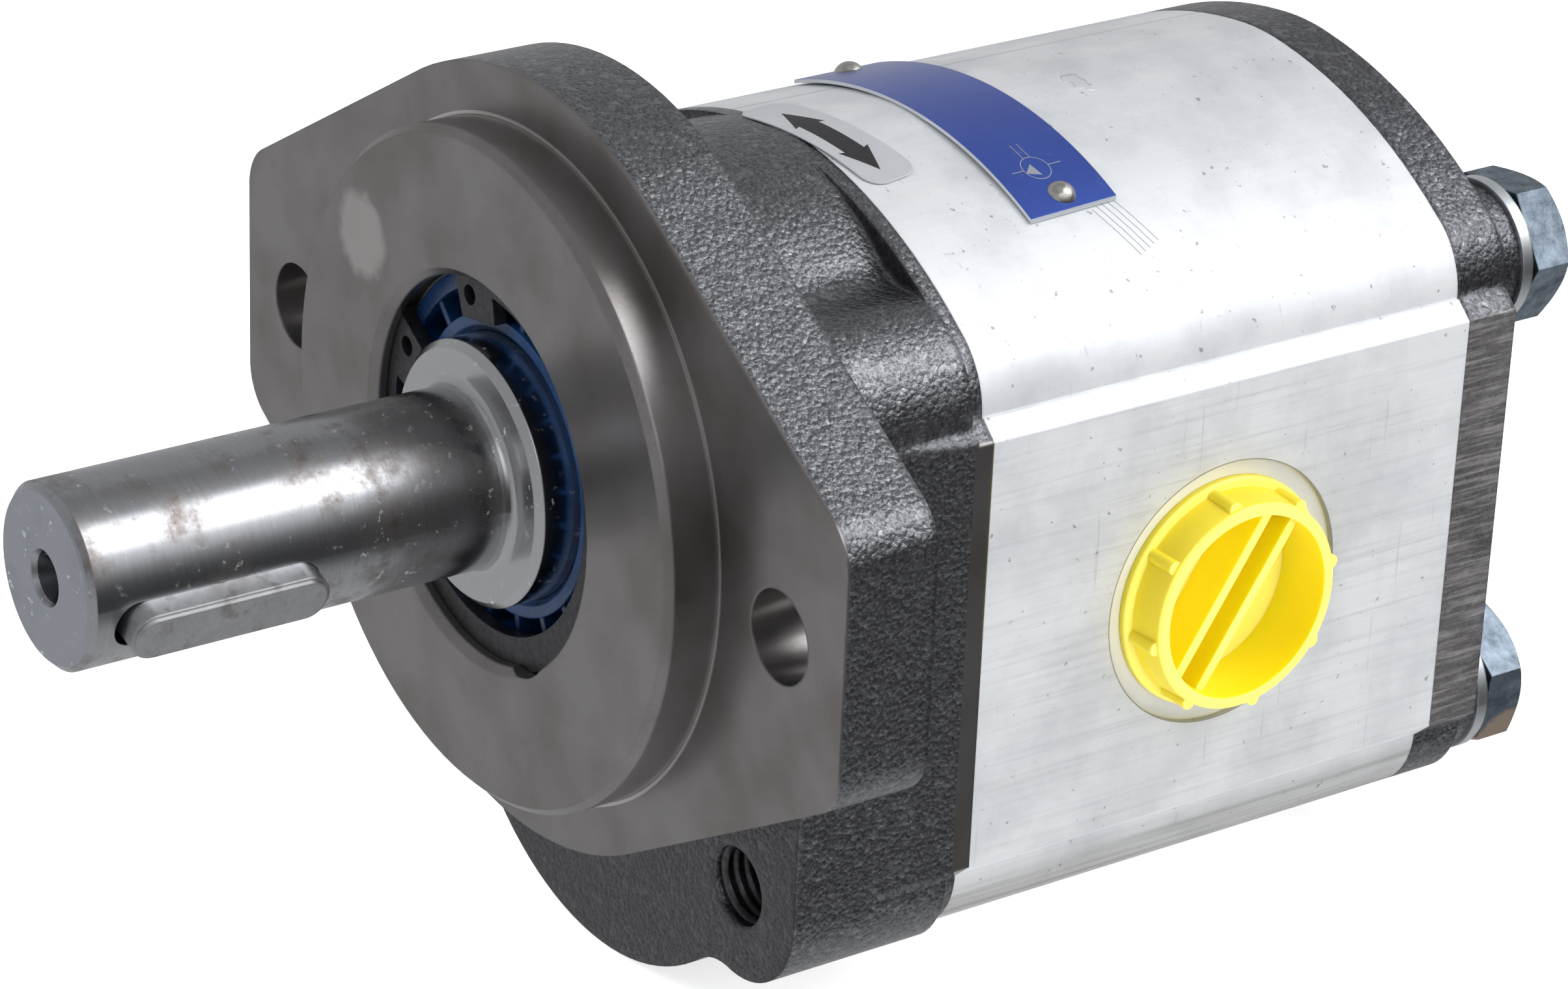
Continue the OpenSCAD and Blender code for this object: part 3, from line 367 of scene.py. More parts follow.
# A group of parallel scratches beside the name plate, and one long line from the die.
along, across = [
    add(tree, "VectorMath", {0: place, 1: direction}, "Value", operation="DOT_PRODUCT")
    for direction in (scratch_way, scratch_normal)
]
stripe = add(tree, "Math", {0: across, 1: 2 * math.pi / scratch_gap}, operation="MULTIPLY")
stripe = add(tree, "Math", {0: stripe}, operation="SINE")
scratches = add(tree, "MapRange", {
    "Value": stripe, "From Min": 0.84, "From Max": 0.97, "To Max": 0.7,
})
for value, (middle, half) in (
    (along, scratch_along), (across, scratch_across), (z_of, scratch_height),
):
    within = add(tree, "Math", {0: value, 1: middle, 2: half}, operation="COMPARE")
    scratches = add(tree, "Math", {0: scratches, 1: within}, operation="MULTIPLY")
crown_line = add(tree, "Math", {0: x_of, 1: crown_line_x, 2: crown_line_half}, operation="COMPARE")
upper = add(tree, "Math", {0: z_of, 1: crown_from_z}, operation="GREATER_THAN")
for share in (upper, broad):
    crown_line = add(tree, "Math", {0: crown_line, 1: share}, operation="MULTIPLY")
lines = add(tree, "Math", {0: scratches, 1: crown_line}, operation="MAXIMUM")

# Darker low on the sides, and the spot face round each port, with a dark line of painted
# shade at its edge.
# Darker towards the bottom of the sides, in broad patches.
low = add(tree, "MapRange", {
    "Value": z_of, "From Min": darker_from_z, "From Max": darker_to_z, "To Max": 0.85,
})
low_darkening = add(tree, "MapRange", {"Value": broad, "From Min": 0.3, "From Max": 0.6, "To Min": 0.25})
low_darkening = add(tree, "Math", {0: low_darkening, 1: low}, operation="MULTIPLY")
off = add(tree, "VectorMath", {0: place, 1: port_at}, operation="SUBTRACT")
off = add(tree, "VectorMath", {0: off, 1: (0, 1, 1)}, operation="MULTIPLY")
off = add(tree, "VectorMath", {0: off}, "Value", operation="LENGTH")
spot_face = add(tree, "MapRange", {
    "Value": off, "From Min": spot_face_r - 0.05 * mm, "From Max": spot_face_r - 0.2 * mm,
    "To Max": 0.8,
})
# Painted shade: a dark line round the spot face's edge on the side faces, for the shadow of its
# recess wall.
spot_edge_shade = add(tree, "Math", {0: off, 1: spot_face_r, 2: spot_edge_half}, operation="COMPARE")
for share in (side_face, spot_edge_share):
    spot_edge_shade = add(tree, "Math", {0: spot_edge_shade, 1: share}, operation="MULTIPLY")

tone = add(tree, "Mix", {0: broad, 6: linear("#f1f3f5"), 7: linear("#d3d6da")}, **of_colours)
for share, over in (
    (dull, "#b9bcc1"), (brushed, "#8d9095"), (specks, "#6c6b6a"), (rubs, "#9a9ca0"),
    (lines, "#5d5f64"), (low_darkening, "#807d79"), (spot_face, "#f4f5f6"), (spot_edge_shade, "#4d5052"),
):
    tone = add(tree, "Mix", {0: share, 6: tone, 7: linear(over)}, **of_colours)
tree.links.new(tone, shader["Base Color"])

off = add(tree, "VectorMath", {0: place, 1: drop_at}, operation="SUBTRACT")
off = add(tree, "VectorMath", {0: off, 1: drop_shape}, operation="MULTIPLY")
off = add(tree, "VectorMath", {0: off}, "Value", operation="LENGTH")
ragged = add(tree, "TexNoise", {"Vector": place, "Scale": 1000 / drop_grain, "Detail": 3.0})
off = add(tree, "Math", {0: ragged, 1: drop_rag, 2: off}, operation="MULTIPLY_ADD")
drop = add(tree, "MapRange", {"Value": off, "From Min": drop_edge, "From Max": drop_core})
rough = add(tree, "MapRange", {
    "Value": broad, "From Min": 0.3, "From Max": 0.7, "To Min": 0.42, "To Max": 0.56,
})
tree.links.new(add(tree, "Mix", {0: drop, 2: rough, 3: drop_rough}), shader["Roughness"])
height = add(tree, "Math", {0: fine, 1: specks}, operation="SUBTRACT")
height = add(tree, "Math", {0: height, 1: lines}, operation="SUBTRACT")
way = add(tree, "Bevel", {"Radius": 0.4 * mm}, samples=4)
for relief, depth, strength in ((drop, 0.2 * mm, 0.9), (height, 0.03 * mm, 0.4)):
    way = add(tree, "Bump", {
        "Height": relief, "Distance": depth, "Strength": strength, "Normal": way,
    })
tree.links.new(way, shader["Normal"])
dress(housing_metal, "gear_housing")


# Rear cover
# A second iron casting with a domed back. Its two flats were milled together with the port faces,
# which left dark, striped metal there, and the rest is sand skin.
rear_flat_x, mill_streak = 43 * mm, 0.6


def rear_cuts(tree, place):
    """The two side flats, where a quarter of the scale is left on the cut metal."""
    x = add(tree, "Math", {0: add(tree, "SeparateXYZ", {0: place}, "X")}, operation="ABSOLUTE")
    return add(tree, "MapRange", {
        "Value": x, "From Min": rear_flat_x, "From Max": rear_flat_x + 0.2 * mm, "To Max": 0.75,
    })


def milling_marks(tree, place):
    """Uneven streaks along the motor, about half a millimetre apart."""
    drawn = add(tree, "VectorMath", {0: place, 1: (1, 0.06, 1)}, operation="MULTIPLY")
    return add(tree, "TexNoise", {
        "Vector": drawn, "Scale": 1000 / mill_streak, "Detail": 4.0, "Roughness": 0.7,
    })


def rear_pale_spots(tree, place):
    """Thin bright streaks that the milling cutter left in the scale."""
    streak = milling_marks(tree, place)
    return add(tree, "MapRange", {
        "Value": streak, "From Min": 0.46, "From Max": 0.7, "To Max": 0.5,
    })


rear_iron = grey_iron(
    "grey_iron_rear_casting", ("#5a5b5f", "#84858a"), ("#5b5858", "#454242", 0.45),
    rear_cuts, milling_marks, rear_pale_spots,
)
dress(rear_iron, "rear_cover")


# Drive shaft
# Ground case-hardened steel. Storage left brown rust blooms and small rust spots on it. The land
# that the seal runs on is polished.
grind_line, rust_bloom, rust_spot = 0.3, 9, 1.3
land_from_y, end_face_y, centre_hole_r = -9.6 * mm, -62.35 * mm, 3 * mm

# Ground steel: a bright grey mirror, drawn out round the shaft, that goes dull under the rust.
shaft_metal, tree, shader, place = finish("ground_steel", {"Metallic": 1.0})
y_of = add(tree, "SeparateXYZ", {0: place}, "Y")
land = add(tree, "Math", {0: y_of, 1: land_from_y}, operation="GREATER_THAN")
end_face = add(tree, "Math", {0: y_of, 1: end_face_y}, operation="LESS_THAN")
from_axis = add(tree, "VectorMath", {0: place, 1: (1, 0, 1)}, operation="MULTIPLY")
from_axis = add(tree, "VectorMath", {0: from_axis}, "Value", operation="LENGTH")
# Painted shade: the centre hole in the shaft's end is darkened inside.
centre_hole_shade = add(tree, "Math", {0: from_axis, 1: centre_hole_r}, operation="LESS_THAN")
ringed = add(tree, "VectorMath", {0: place, 1: (0.03, 1, 0.03)}, operation="MULTIPLY")
grind = add(tree, "TexNoise", {
    "Vector": ringed, "Scale": 1000 / grind_line, "Detail": 3.0, "Roughness": 0.6,
})
bloom = add(tree, "TexNoise", {
    "Vector": place, "Scale": 1000 / rust_bloom, "Detail": 6.0, "Roughness": 0.68,
})
bloom = add(tree, "MapRange", {"Value": bloom, "From Min": 0.51, "From Max": 0.7, "To Max": 0.7})
spots = add(tree, "TexNoise", {
    "Vector": place, "Scale": 1000 / rust_spot, "Detail": 4.0, "Roughness": 0.65,
})
spots = add(tree, "MapRange", {"Value": spots, "From Min": 0.62, "From Max": 0.72, "To Max": 0.7})
near_bloom = add(tree, "MapRange", {"Value": bloom, "From Max": 0.3, "To Min": 0.15})
spots = add(tree, "Math", {0: spots, 1: near_bloom}, operation="MULTIPLY")
tone = add(tree, "Mix", {0: grind, 6: linear("#aaacb0"), 7: linear("#c6c8cc")}, **of_colours)
for share, over in (
    (bloom, "#6f5a4b"), (spots, "#4a3220"), (land, "#c9cacc"), (end_face, "#b6bbc3"),
    (centre_hole_shade, "#4c4e52"),
):
    tone = add(tree, "Mix", {0: share, 6: tone, 7: linear(over)}, **of_colours)
tree.links.new(tone, shader["Base Color"])
bare = add(tree, "MapRange", {"Value": spots, "From Max": 0.5, "To Min": 1.0, "To Max": 0.25})
tree.links.new(bare, shader["Metallic"])
rough = add(tree, "MapRange", {"Value": bloom, "From Max": 0.5, "To Min": 0.22, "To Max": 0.4})
tree.links.new(add(tree, "Mix", {0: land, 2: rough, 3: 0.2}), shader["Roughness"])
way = add(tree, "Bevel", {"Radius": 0.25 * mm}, samples=4)
for relief, depth, strength in ((grind, 0.01 * mm, 0.3), (spots, 0.03 * mm, 0.4)):
    way = add(tree, "Bump", {
        "Height": relief, "Distance": depth, "Strength": strength, "Normal": way,
    })
tree.links.new(way, shader["Normal"])
dress(shaft_metal, "drive_shaft")


# Shaft key
# Drawn key steel with round milled ends, slightly dulled and stained by handling.
handled_patch, stain_size = 1.8, 2.5

# Drawn key steel: paler and more satin than the shaft, with brownish finger stains.
key_metal, tree, shader, place = finish("drawn_key_steel", {"Metallic": 1.0})
dull = add(tree, "TexNoise", {
    "Vector": place, "Scale": 1000 / handled_patch, "Detail": 5.0, "Roughness": 0.7,
})
spread = add(tree, "MapRange", {"Value": dull, "From Min": 0.3, "From Max": 0.7})
stain = add(tree, "TexNoise", {"Vector": place, "Scale": 1000 / stain_size, "Detail": 4.0})
stain = add(tree, "MapRange", {"Value": stain, "From Min": 0.58, "From Max": 0.7, "To Max": 0.45})
tone = add(tree, "Mix", {0: spread, 6: linear("#b9babd"), 7: linear("#d3d4d6")}, **of_colours)
tone = add(tree, "Mix", {0: stain, 6: tone, 7: linear("#7d736b")}, **of_colours)
tree.links.new(tone, shader["Base Color"])
rough = add(tree, "MapRange", {"Value": dull, "To Min": 0.28, "To Max": 0.5})
tree.links.new(rough, shader["Roughness"])
worn = add(tree, "Bevel", {"Radius": 0.45 * mm}, samples=4)
way = add(tree, "Bump", {
    "Height": dull, "Distance": 0.03 * mm, "Strength": 0.4, "Normal": worn,
})
tree.links.new(way, shader["Normal"])
dress(key_metal, "shaft_key")


# Gears
# Case-hardened alloy steel. The flanks and the journals are ground, which leaves fine lines along
# the teeth and a grey, half-bright surface.
gear_metal, tree, shader, _ = mottled(
    "ground_gear_steel", {"Metallic": 1.0, "Roughness": 0.28}, ("#85868a", "#aeb0b3"), 0.3,
    drawn=(1, 0.05, 1),
)
tree.links.new(add(tree, "Bevel", {"Radius": 0.2 * mm}, samples=4), shader["Normal"])
dress(gear_metal, "drive_gear", "driven_gear")


# Outboard bearing and dowels
# Bearing steel, ground and lapped, with a pressed steel cage. The dowels are ground pins of the
# same steel.
lapped_patch, tone_cloud = 0.6, 5

# Lapped steel: almost a mirror, with a faint haze.
bearing_metal, tree, shader, place = finish("lapped_bearing_steel", {"Metallic": 1.0})
lapped = add(tree, "TexNoise", {"Vector": place, "Scale": 1000 / lapped_patch, "Detail": 3.0})
rough = add(tree, "MapRange", {"Value": lapped, "To Min": 0.12, "To Max": 0.28})
tree.links.new(rough, shader["Roughness"])
clouds = add(tree, "TexNoise", {"Vector": place, "Scale": 1000 / tone_cloud, "Detail": 3.0})
tone = add(tree, "Mix", {0: clouds, 6: linear("#b9bbbd"), 7: linear("#cfd0d1")}, **of_colours)
tree.links.new(tone, shader["Base Color"])
dress(
    bearing_metal,
    "bearing_outer_ring", "bearing_inner_ring", "bearing_balls", "front_dowels", "rear_dowels",
)

# Pressed sheet steel: duller and warmer than the rings, with rolling lines.
cage_metal = mottled(
    "pressed_sheet_steel", {"Metallic": 1.0, "Roughness": 0.42}, ("#7f7d79", "#a09e99"), 0.5,
    drawn=(1, 0.1, 1),
)[0]
dress(cage_metal, "bearing_cage")


# Retaining rings and garter spring
# Spring steel with a phosphate coat, which is dark grey, matt and a little uneven.
ring_metal, tree, shader, coat = mottled(
    "phosphated_spring_steel", {"Metallic": 0.9}, ("#2c2c2e", "#67676a"), 0.8, detail=4.0
)
rough = add(tree, "MapRange", {"Value": coat, "To Min": 0.36, "To Max": 0.52})
tree.links.new(rough, shader["Roughness"])
worn = add(tree, "Bevel", {"Radius": 0.25 * mm}, samples=4)
way = add(tree, "Bump", {
    "Height": coat, "Distance": 0.02 * mm, "Strength": 0.3, "Normal": worn,
})
tree.links.new(way, shader["Normal"])
dress(ring_metal, "seal_ring", "shaft_clip", "seal_spring")


# Bearing blocks and bushes
# Pressure die-cast aluminium, bored and faced, with bushes of sintered bronze pressed into it.
# The facing cutter leaves the blocks bright with fine lines, and the bronze is brown and grainy.
block_metal = mottled(
    "faced_aluminium", {"Metallic": 1.0, "Roughness": 0.32}, ("#b9bbbe", "#d6d7d9"), 0.4,
    drawn=(1, 1, 0.08),
)[0]
dress(block_metal, "front_bearing_block", "rear_bearing_block")
bush_metal = mottled(
    "sintered_bronze", {"Metallic": 1.0, "Roughness": 0.4}, ("#8a6238", "#b98a57"), 0.5
)[0]
dress(bush_metal, "front_drive_bush", "front_driven_bush", "rear_drive_bush", "rear_driven_bush")


# Shaft seal
# Dark blue nitrile rubber moulded over a steel ring. Mould gloss and a film of oil make it shine.
tone_cloud, oil_patch = 2.2, 1.5

# Moulded rubber: a deep blue, with small wet highlights.
seal_rubber, tree, shader, place = finish("nitrile_rubber_blue", {"IOR": 1.52})
clouds = add(tree, "TexNoise", {"Vector": place, "Scale": 1000 / tone_cloud, "Detail": 4.0})
tone = add(tree, "Mix", {0: clouds, 6: linear("#0d2444"), 7: linear("#1d4474")}, **of_colours)
tree.links.new(tone, shader["Base Color"])
oil = add(tree, "TexNoise", {"Vector": place, "Scale": 1000 / oil_patch, "Detail": 3.0})
rough = add(tree, "MapRange", {"Value": oil, "To Min": 0.14, "To Max": 0.38})
tree.links.new(rough, shader["Roughness"])
worn = add(tree, "Bevel", {"Radius": 0.3 * mm}, samples=4)
way = add(tree, "Bump", {
    "Height": oil, "Distance": 0.05 * mm, "Strength": 0.25, "Normal": worn,
})
tree.links.new(way, shader["Normal"])
dress(seal_rubber, "shaft_seal")


# Flat seals
# Black nitrile rubber cord and rings, laid in the grooves of the joints and the blocks. They are
# matt, with a faint grey bloom.
black_rubber = mottled(
    "nitrile_rubber_black", {"IOR": 1.52, "Roughness": 0.55}, ("#151516", "#2a2a2b"), 0.8
)[0]
dress(black_rubber, "front_joint_seal", "rear_joint_seal", "front_block_seal", "rear_block_seal")


# Clamping bolts and washers
# Cold-headed steel with a bluish zinc coat, scuffed on the hexagons by the spanner, and worn to a
# warm bare patch on the lower right head. The washers are stamped and still bright.
scuff_size, bare_at = 2.4, (36.5 * mm, 126 * mm, -53.5 * mm)
bare_rag, bare_edge, bare_core = 3 * mm, 7.2 * mm, 6.4 * mm

# Zinc-plated steel: blue-grey facets, some of them cloudy and some bright.
bolt_metal, tree, shader, place = finish("zinc_plated_steel", {"Metallic": 1.0})
scuff = add(tree, "TexNoise", {
    "Vector": place, "Scale": 1000 / scuff_size, "Detail": 6.0, "Roughness": 0.7,
})
spread = add(tree, "MapRange", {"Value": scuff, "From Min": 0.35, "From Max": 0.68})
off = add(tree, "VectorMath", {0: place, 1: bare_at}, operation="SUBTRACT")
off = add(tree, "VectorMath", {0: off}, "Value", operation="LENGTH")
off = add(tree, "Math", {0: scuff, 1: bare_rag, 2: off}, operation="MULTIPLY_ADD")
bare = add(tree, "MapRange", {"Value": off, "From Min": bare_edge, "From Max": bare_core})
tone = add(tree, "Mix", {0: spread, 6: linear("#626c78"), 7: linear("#a3b2c0")}, **of_colours)
tone = add(tree, "Mix", {0: bare, 6: tone, 7: linear("#e2cdbb")}, **of_colours)
tree.links.new(tone, shader["Base Color"])
rough = add(tree, "MapRange", {"Value": scuff, "To Min": 0.26, "To Max": 0.5})
tree.links.new(rough, shader["Roughness"])
worn = add(tree, "Bevel", {"Radius": 0.25 * mm}, samples=4)
way = add(tree, "Bump", {
    "Height": scuff, "Distance": 0.1 * mm, "Strength": 0.5, "Normal": worn,
})
tree.links.new(way, shader["Normal"])
dress(bolt_metal, "clamp_bolts")

# Bright zinc: near white, so the washers stand out as pale rings under the dark heads.
washer_metal, tree, shader, _ = mottled(
    "bright_zinc", {"Metallic": 1.0, "Roughness": 0.34}, ("#e0e6ea", "#f5f8f9"), 0.8
)
tree.links.new(add(tree, "Bevel", {"Radius": 0.3 * mm}, samples=4), shader["Normal"])
dress(washer_metal, "bolt_washers")


# Port and drain plugs
# Thread protectors moulded in yellow polyethylene, pressed into the ports and the drain. Light
# passes into their thin walls; that glow is painted, so the rims and bars are tinted paler than
# the deep walls inside the cup.
cup_r, tone_cloud, skin_wave = 11.85 * mm, 5, 1.4

# Moulded polyethylene: a waxy yellow that glows from inside, with part of the glow painted.
plug_plastic, tree, shader, place = finish("moulded_polyethylene_yellow", {
    "IOR": 1.5, "Roughness": 0.34, "Subsurface Weight": 0.4, "Subsurface Radius": (1.0, 0.9, 0.2),
    "Subsurface Scale": 1.6 * mm,
})
clouds = add(tree, "TexNoise", {"Vector": place, "Scale": 1000 / tone_cloud, "Detail": 3.0})
# Painted light: faces that look along the port axis are tinted a paler yellow, for the glow through
# thin walls.
facing = add(tree, "SeparateXYZ", {0: add(tree, "TexCoord", out="Normal")}, "X")
facing = add(tree, "Math", {0: facing}, operation="ABSOLUTE")
facing = add(tree, "Math", {0: clouds, 1: 0.3, 2: facing}, operation="MULTIPLY_ADD")
outward_glow = add(tree, "MapRange", {"Value": facing, "From Min": 0.4, "From Max": 0.9})
off = add(tree, "VectorMath", {0: place, 1: port_at}, operation="SUBTRACT")
off = add(tree, "VectorMath", {0: off, 1: (0, 1, 1)}, operation="MULTIPLY")
off = add(tree, "VectorMath", {0: off}, "Value", operation="LENGTH")
cup = add(tree, "Math", {0: off, 1: cup_r}, operation="LESS_THAN")
tone = add(tree, "Mix", {0: cup, 6: linear("#ead72e"), 7: linear("#efdc0e")}, **of_colours)
tone = add(tree, "Mix", {0: outward_glow, 6: tone, 7: linear("#e6da66")}, **of_colours)
tree.links.new(tone, shader["Base Color"])
skin = add(tree, "TexNoise", {"Vector": place, "Scale": 1000 / skin_wave, "Detail": 3.0})
worn = add(tree, "Bevel", {"Radius": 0.35 * mm}, samples=4)
way = add(tree, "Bump", {
    "Height": skin, "Distance": 0.04 * mm, "Strength": 0.25, "Normal": worn,
})
tree.links.new(way, shader["Normal"])
dress(plug_plastic, "right_port_plug", "left_port_plug", "drain_plug")


# Name plate
# Aluminium sheet anodised blue, bent over the crown and held by two drive rivets, a little askew.
# Its cut edges are bare. Only a general circuit sign for a motor is drawn on it.
plate_r, plate_t, plate_y, plate_turn = 55.0, 0.5, 58.4, math.radians(2.6)
plate_axis_z = 35.15 - plate_r
film, rub_size, tone_cloud = 0.015, 1.5, 8

# Blue anodised aluminium: a clear blue with a soft sheen, rubbed paler here and there.
plate_metal, tree, shader, place = finish("blue_anodised_aluminium", {
    "Metallic": 0.75, "Coat Weight": 1.0, "Coat Roughness": 0.3,
})
off = add(tree, "VectorMath", {0: place, 1: (0, 0, plate_axis_z * mm)}, operation="SUBTRACT")
off = add(tree, "VectorMath", {0: off, 1: (1, 0, 1)}, operation="MULTIPLY")
off = add(tree, "VectorMath", {0: off}, "Value", operation="LENGTH")
skin = add(tree, "MapRange", {
    "Value": off, "From Min": (plate_r + plate_t - 0.04) * mm,
    "From Max": (plate_r + plate_t - 0.02) * mm,
})
rub = add(tree, "TexNoise", {
    "Vector": place, "Scale": 1000 / rub_size, "Detail": 5.0, "Roughness": 0.7,
})
rub = add(tree, "MapRange", {"Value": rub, "From Min": 0.6, "From Max": 0.74, "To Max": 0.25})
clouds = add(tree, "TexNoise", {"Vector": place, "Scale": 1000 / tone_cloud, "Detail": 3.0})
blue = add(tree, "Mix", {0: clouds, 6: linear("#2446aa"), 7: linear("#3058bd")}, **of_colours)
blue = add(tree, "Mix", {0: rub, 6: blue, 7: linear("#7f93c2")}, **of_colours)
tone = add(tree, "Mix", {0: skin, 6: linear("#dfe3ea"), 7: blue}, **of_colours)
tree.links.new(tone, shader["Base Color"])
rough = add(tree, "MapRange", {"Value": rub, "From Max": 0.25, "To Min": 0.3, "To Max": 0.45})
tree.links.new(rough, shader["Roughness"])
tree.links.new(add(tree, "Bevel", {"Radius": 0.15 * mm}, samples=4), shader["Normal"])
dress(plate_metal, "name_plate")


def bent_shape(name, outlines, radius, axis_z, lift, turn, about):
    """Flat outlines in millimetres, turned about a point, then laid round a bent sheet."""
    strip = 0.8
    mesh = bmesh.new()
    for outline in outlines:
        corners = []
        for u, v in outline:
            x = about[0] + u * math.cos(turn) - v * math.sin(turn)
            y = about[1] + u * math.sin(turn) + v * math.cos(turn)
            corners.append(mesh.verts.new((x, y, 0)))
        mesh.faces.new(corners)
    far = max(v.co.x for v in mesh.verts)
    cut = min(v.co.x for v in mesh.verts) + strip
    while cut < far:
        bmesh.ops.bisect_plane(
            mesh, geom=mesh.verts[:] + mesh.edges[:] + mesh.faces[:],
            plane_co=(cut, 0, 0), plane_no=(1, 0, 0),
        )
        cut += strip
    bmesh.ops.triangulate(mesh, faces=mesh.faces[:])
    for v in mesh.verts:
        angle = math.asin(v.co.x / radius)
        r = radius + lift
        v.co = Vector((r * math.sin(angle), v.co.y, axis_z + r * math.cos(angle))) / 1000
    data = bpy.data.meshes.new(name)
    mesh.to_mesh(data)
    mesh.free()
    return data


def ring_quads(u, v, inner, outer, steps=48):
    """A flat ring as four-cornered outlines."""
    turns = [2 * math.pi * i / steps for i in range(steps + 1)]
    spots = [(math.cos(turn), math.sin(turn)) for turn in turns]
    return [
        [(u + inner * a[0], v + inner * a[1]), (u + outer * a[0], v + outer * a[1]),
         (u + outer * b[0], v + outer * b[1]), (u + inner * b[0], v + inner * b[1])]
        for a, b in zip(spots, spots[1:])
    ]


def bar_quad(u0, v0, u1, v1, width):
    """A straight line of some width as a four-cornered outline."""
    along = Vector((u1 - u0, v1 - v0)).normalized() * width / 2
    side = Vector((-along.y, along.x))
    return [
        (u0 - side.x, v0 - side.y), (u1 - side.x, v1 - side.y),
        (u1 + side.x, v1 + side.y), (u0 + side.x, v0 + side.y),
    ]


# Etched bare aluminium: pale silver lines on the blue.
bare_metal = mottled(
    "etched_bare_aluminium", {"Metallic": 1.0, "Roughness": 0.4}, ("#c6d0e6", "#eef1f6"), 0.4
)[0]
sign_u, sign_v, ring_inner, ring_outer, line_width = 18.75, -0.6, 1.78, 1.9, 0.12
sign = ring_quads(sign_u, sign_v, ring_inner, ring_outer)
sign.append([(sign_u + u, sign_v + v) for u, v in ((0.5, -1.85), (-0.75, -0.35), (1.25, 0.05))])
for u0, v0, u1, v1 in (
    (0, 1.86, 0, 3.8), (0, -1.86, 0, -3.6), (-1.8, -0.5, -4.4, -0.5), (-1.8, 0.5, -4.4, 0.5),
):
    sign.append(bar_quad(sign_u + u0, sign_v + v0, sign_u + u1, sign_v + v1, line_width))
sign = bent_shape(
    "motor_sign", sign, plate_r, plate_axis_z, plate_t + film, plate_turn, (0, plate_y)
)
piece("motor_sign", sign, bare_metal, False)


# Plate rivets
# Grooved drive rivets of plain steel, hammered in, so their bright domes carry small dents.
rivet_metal, tree, shader, dents = mottled(
    "plain_steel_rivet", {"Metallic": 1.0, "Roughness": 0.26}, ("#b9b5ad", "#e8e6e0"), 1.6
)
way = add(tree, "Bump", {"Height": dents, "Distance": 0.3 * mm, "Strength": 0.5})
tree.links.new(way, shader["Normal"])
dress(rivet_metal, "plate_rivets")


# Direction label
# Metallised film with a printed double arrow, stuck on by hand a little askew. The film is pale
# and softly waved, and the ink on it is a satin black.
label_film, tree, shader, waves = mottled(
    "metallised_film", {"Metallic": 0.6, "IOR": 1.5}, ("#c4c7cb", "#d6d8dc"), 6, detail=2.0
)
rough = add(tree, "MapRange", {"Value": waves, "To Min": 0.32, "To Max": 0.46})
tree.links.new(rough, shader["Roughness"])
dress(label_film, "direction_label")
ink = mottled("black_printing_ink", {"Roughness": 0.42}, ("#141315", "#29282b"), 0.6)[0]
label_r, label_t, label_turn, arrow_at = 50.5, 0.15, math.radians(7.2), (4.3, 39.2)
label_axis_z = 35.12 - label_r
arrow = [
    (-8.75, 0.0), (-3.6, -2.3), (-3.9, -1.5), (4.2, -1.5), (3.9, -2.3),
    (8.75, 0.0), (3.9, 2.3), (4.2, 1.5), (-3.9, 1.5), (-3.6, 2.3),
]
arrow = bent_shape(
    "direction_arrow", [arrow], label_r, label_axis_z, label_t + film, label_turn, arrow_at
)
piece("direction_arrow", arrow, ink, False)


# Floor and light
# A pale seamless floor lies just under the motor. The main soft light stands in front on the left,
# one on the right and a weak one behind. The room's upper right is bright and its sides are dim.
floor_half, floor_gap = 6.0, 0.3 * mm
lights_aim = Vector((0, 0.03, -0.02))
bright_way, window_way = (0.815, 0.579, 0), (0.46, 0.51, 0.725)

# Matt white paper: pale and even, so that only a faint shadow shows on it.
paper = mottled("matt_white_paper", {
    "Roughness": 0.9, "Emission Color": (1, 1, 1, 1), "Emission Strength": 0.6,
}, ("#fafafa", "#fdfdfd"), 60, detail=2.0)[0]
mesh = bmesh.new()
floor_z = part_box("gear_housing")[0].z - floor_gap
corners = [(-1, -1), (1, -1), (1, 1), (-1, 1)]
mesh.faces.new([mesh.verts.new((floor_half * x, floor_half * y, floor_z)) for x, y in corners])
data = bpy.data.meshes.new("floor")
mesh.to_mesh(data)
mesh.free()
floor = bpy.data.objects.new("floor", data)
floor.data.materials.append(paper)
floor.visible_glossy = False
bpy.context.scene.collection.objects.link(floor)

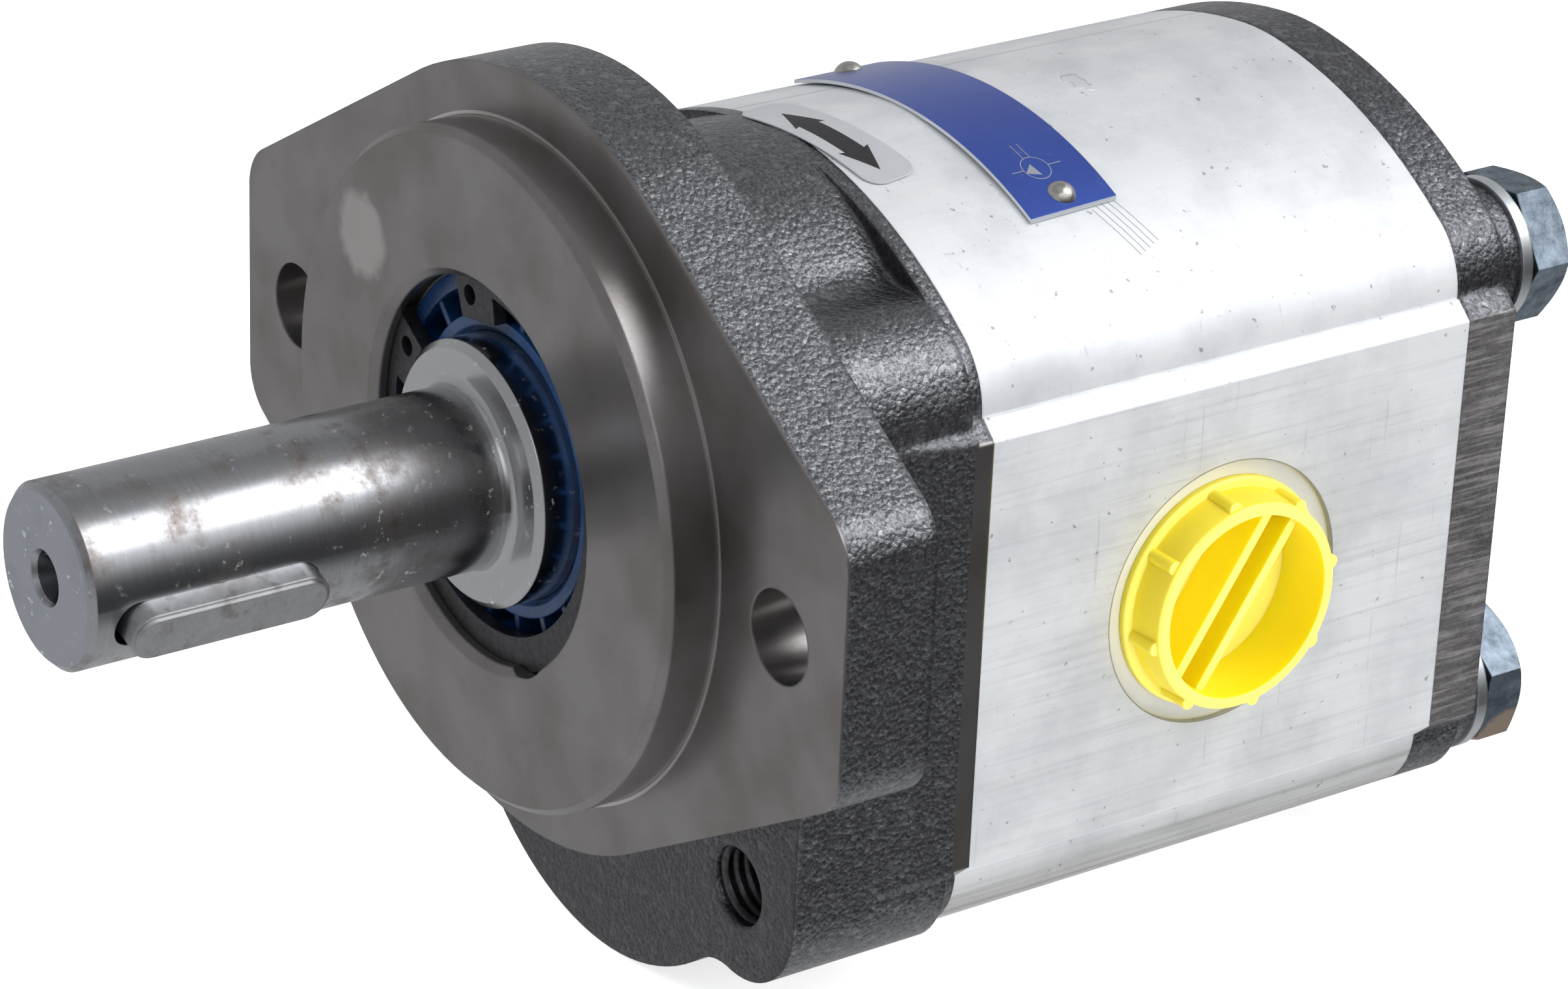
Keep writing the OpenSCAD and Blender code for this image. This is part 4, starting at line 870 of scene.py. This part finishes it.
for name, place_at, size, power in (
    ("back_light", (0.55, 0.75, 0.95), 0.9, 6),
    ("front_light", (-0.5, -0.9, 1.0), 0.9, 14),
    ("right_light", (1.2, 0.05, 0.35), 0.7, 9),
):
    lamp = bpy.data.lights.new(name, "AREA")
    lamp.shape = "DISK"
    lamp.size = size
    lamp.energy = power
    holder = bpy.data.objects.new(name, lamp)
    holder.location = place_at
    aim = lights_aim - holder.location
    holder.rotation_euler = aim.to_track_quat("-Z", "Y").to_euler()
    holder.visible_glossy = False
    bpy.context.scene.collection.objects.link(holder)

# The room's brightness for each slope of view, from straight down (-1) to straight up (1).
lit_stops = (
    (-1, 0.45), (-0.75, 0.42), (-0.62, 0.3), (-0.46, 0.08), (-0.28, 0.05), (0, 0.1),
    (0.2, 0.3), (0.42, 0.9), (0.6, 1.1), (0.75, 1.1), (0.85, 0.5), (1, 0.3),
)
dim_stops = (
    (-1, 0.5), (-0.7, 0.46), (-0.35, 0.46), (0, 0.42), (0.4, 0.38), (0.7, 0.36), (0.83, 0.25),
    (1, 0.4),
)
sky = bpy.data.worlds.new("soft_room")
sky.use_nodes = True
bpy.context.scene.world = sky
tree = sky.node_tree
way = add(tree, "TexCoord", out="Generated")
height = add(tree, "SeparateXYZ", {0: way}, "Z")
height = add(tree, "MapRange", {"Value": height, "From Min": -1})
toward = add(tree, "VectorMath", {0: way, 1: bright_way}, "Value", operation="DOT_PRODUCT")
toward = add(tree, "MapRange", {
    "Value": toward, "From Min": 0.0, "From Max": 0.55,
}, interpolation_type="SMOOTHSTEP")
lit_side, dim_side = [add(tree, "ValToRGB", {"Fac": height}) for _ in range(2)]
for side, stops in ((lit_side, lit_stops), (dim_side, dim_stops)):
    ramp = side.node.color_ramp
    while len(ramp.elements) < len(stops):
        ramp.elements.new(0.5)
    for element, (slope, _) in zip(ramp.elements, stops):
        element.position = (slope + 1) / 2
    for element, (_, level) in zip(ramp.elements, stops):
        element.color = (level, level * 1.005, level * 1.02, 1)
glow = add(tree, "Mix", {0: toward, 6: dim_side, 7: lit_side}, **of_colours)
window = add(tree, "VectorMath", {0: way, 1: window_way}, "Value", operation="DOT_PRODUCT")
window = add(tree, "MapRange", {
    "Value": window, "From Min": 0.93, "From Max": 0.99, "To Max": 2.8,
}, interpolation_type="SMOOTHSTEP")
glow = add(tree, "VectorMath", {0: glow, 1: window}, operation="ADD")
tree.links.new(glow, tree.nodes["Background"].inputs["Color"])
bpy.context.scene.view_settings.view_transform = "Standard"
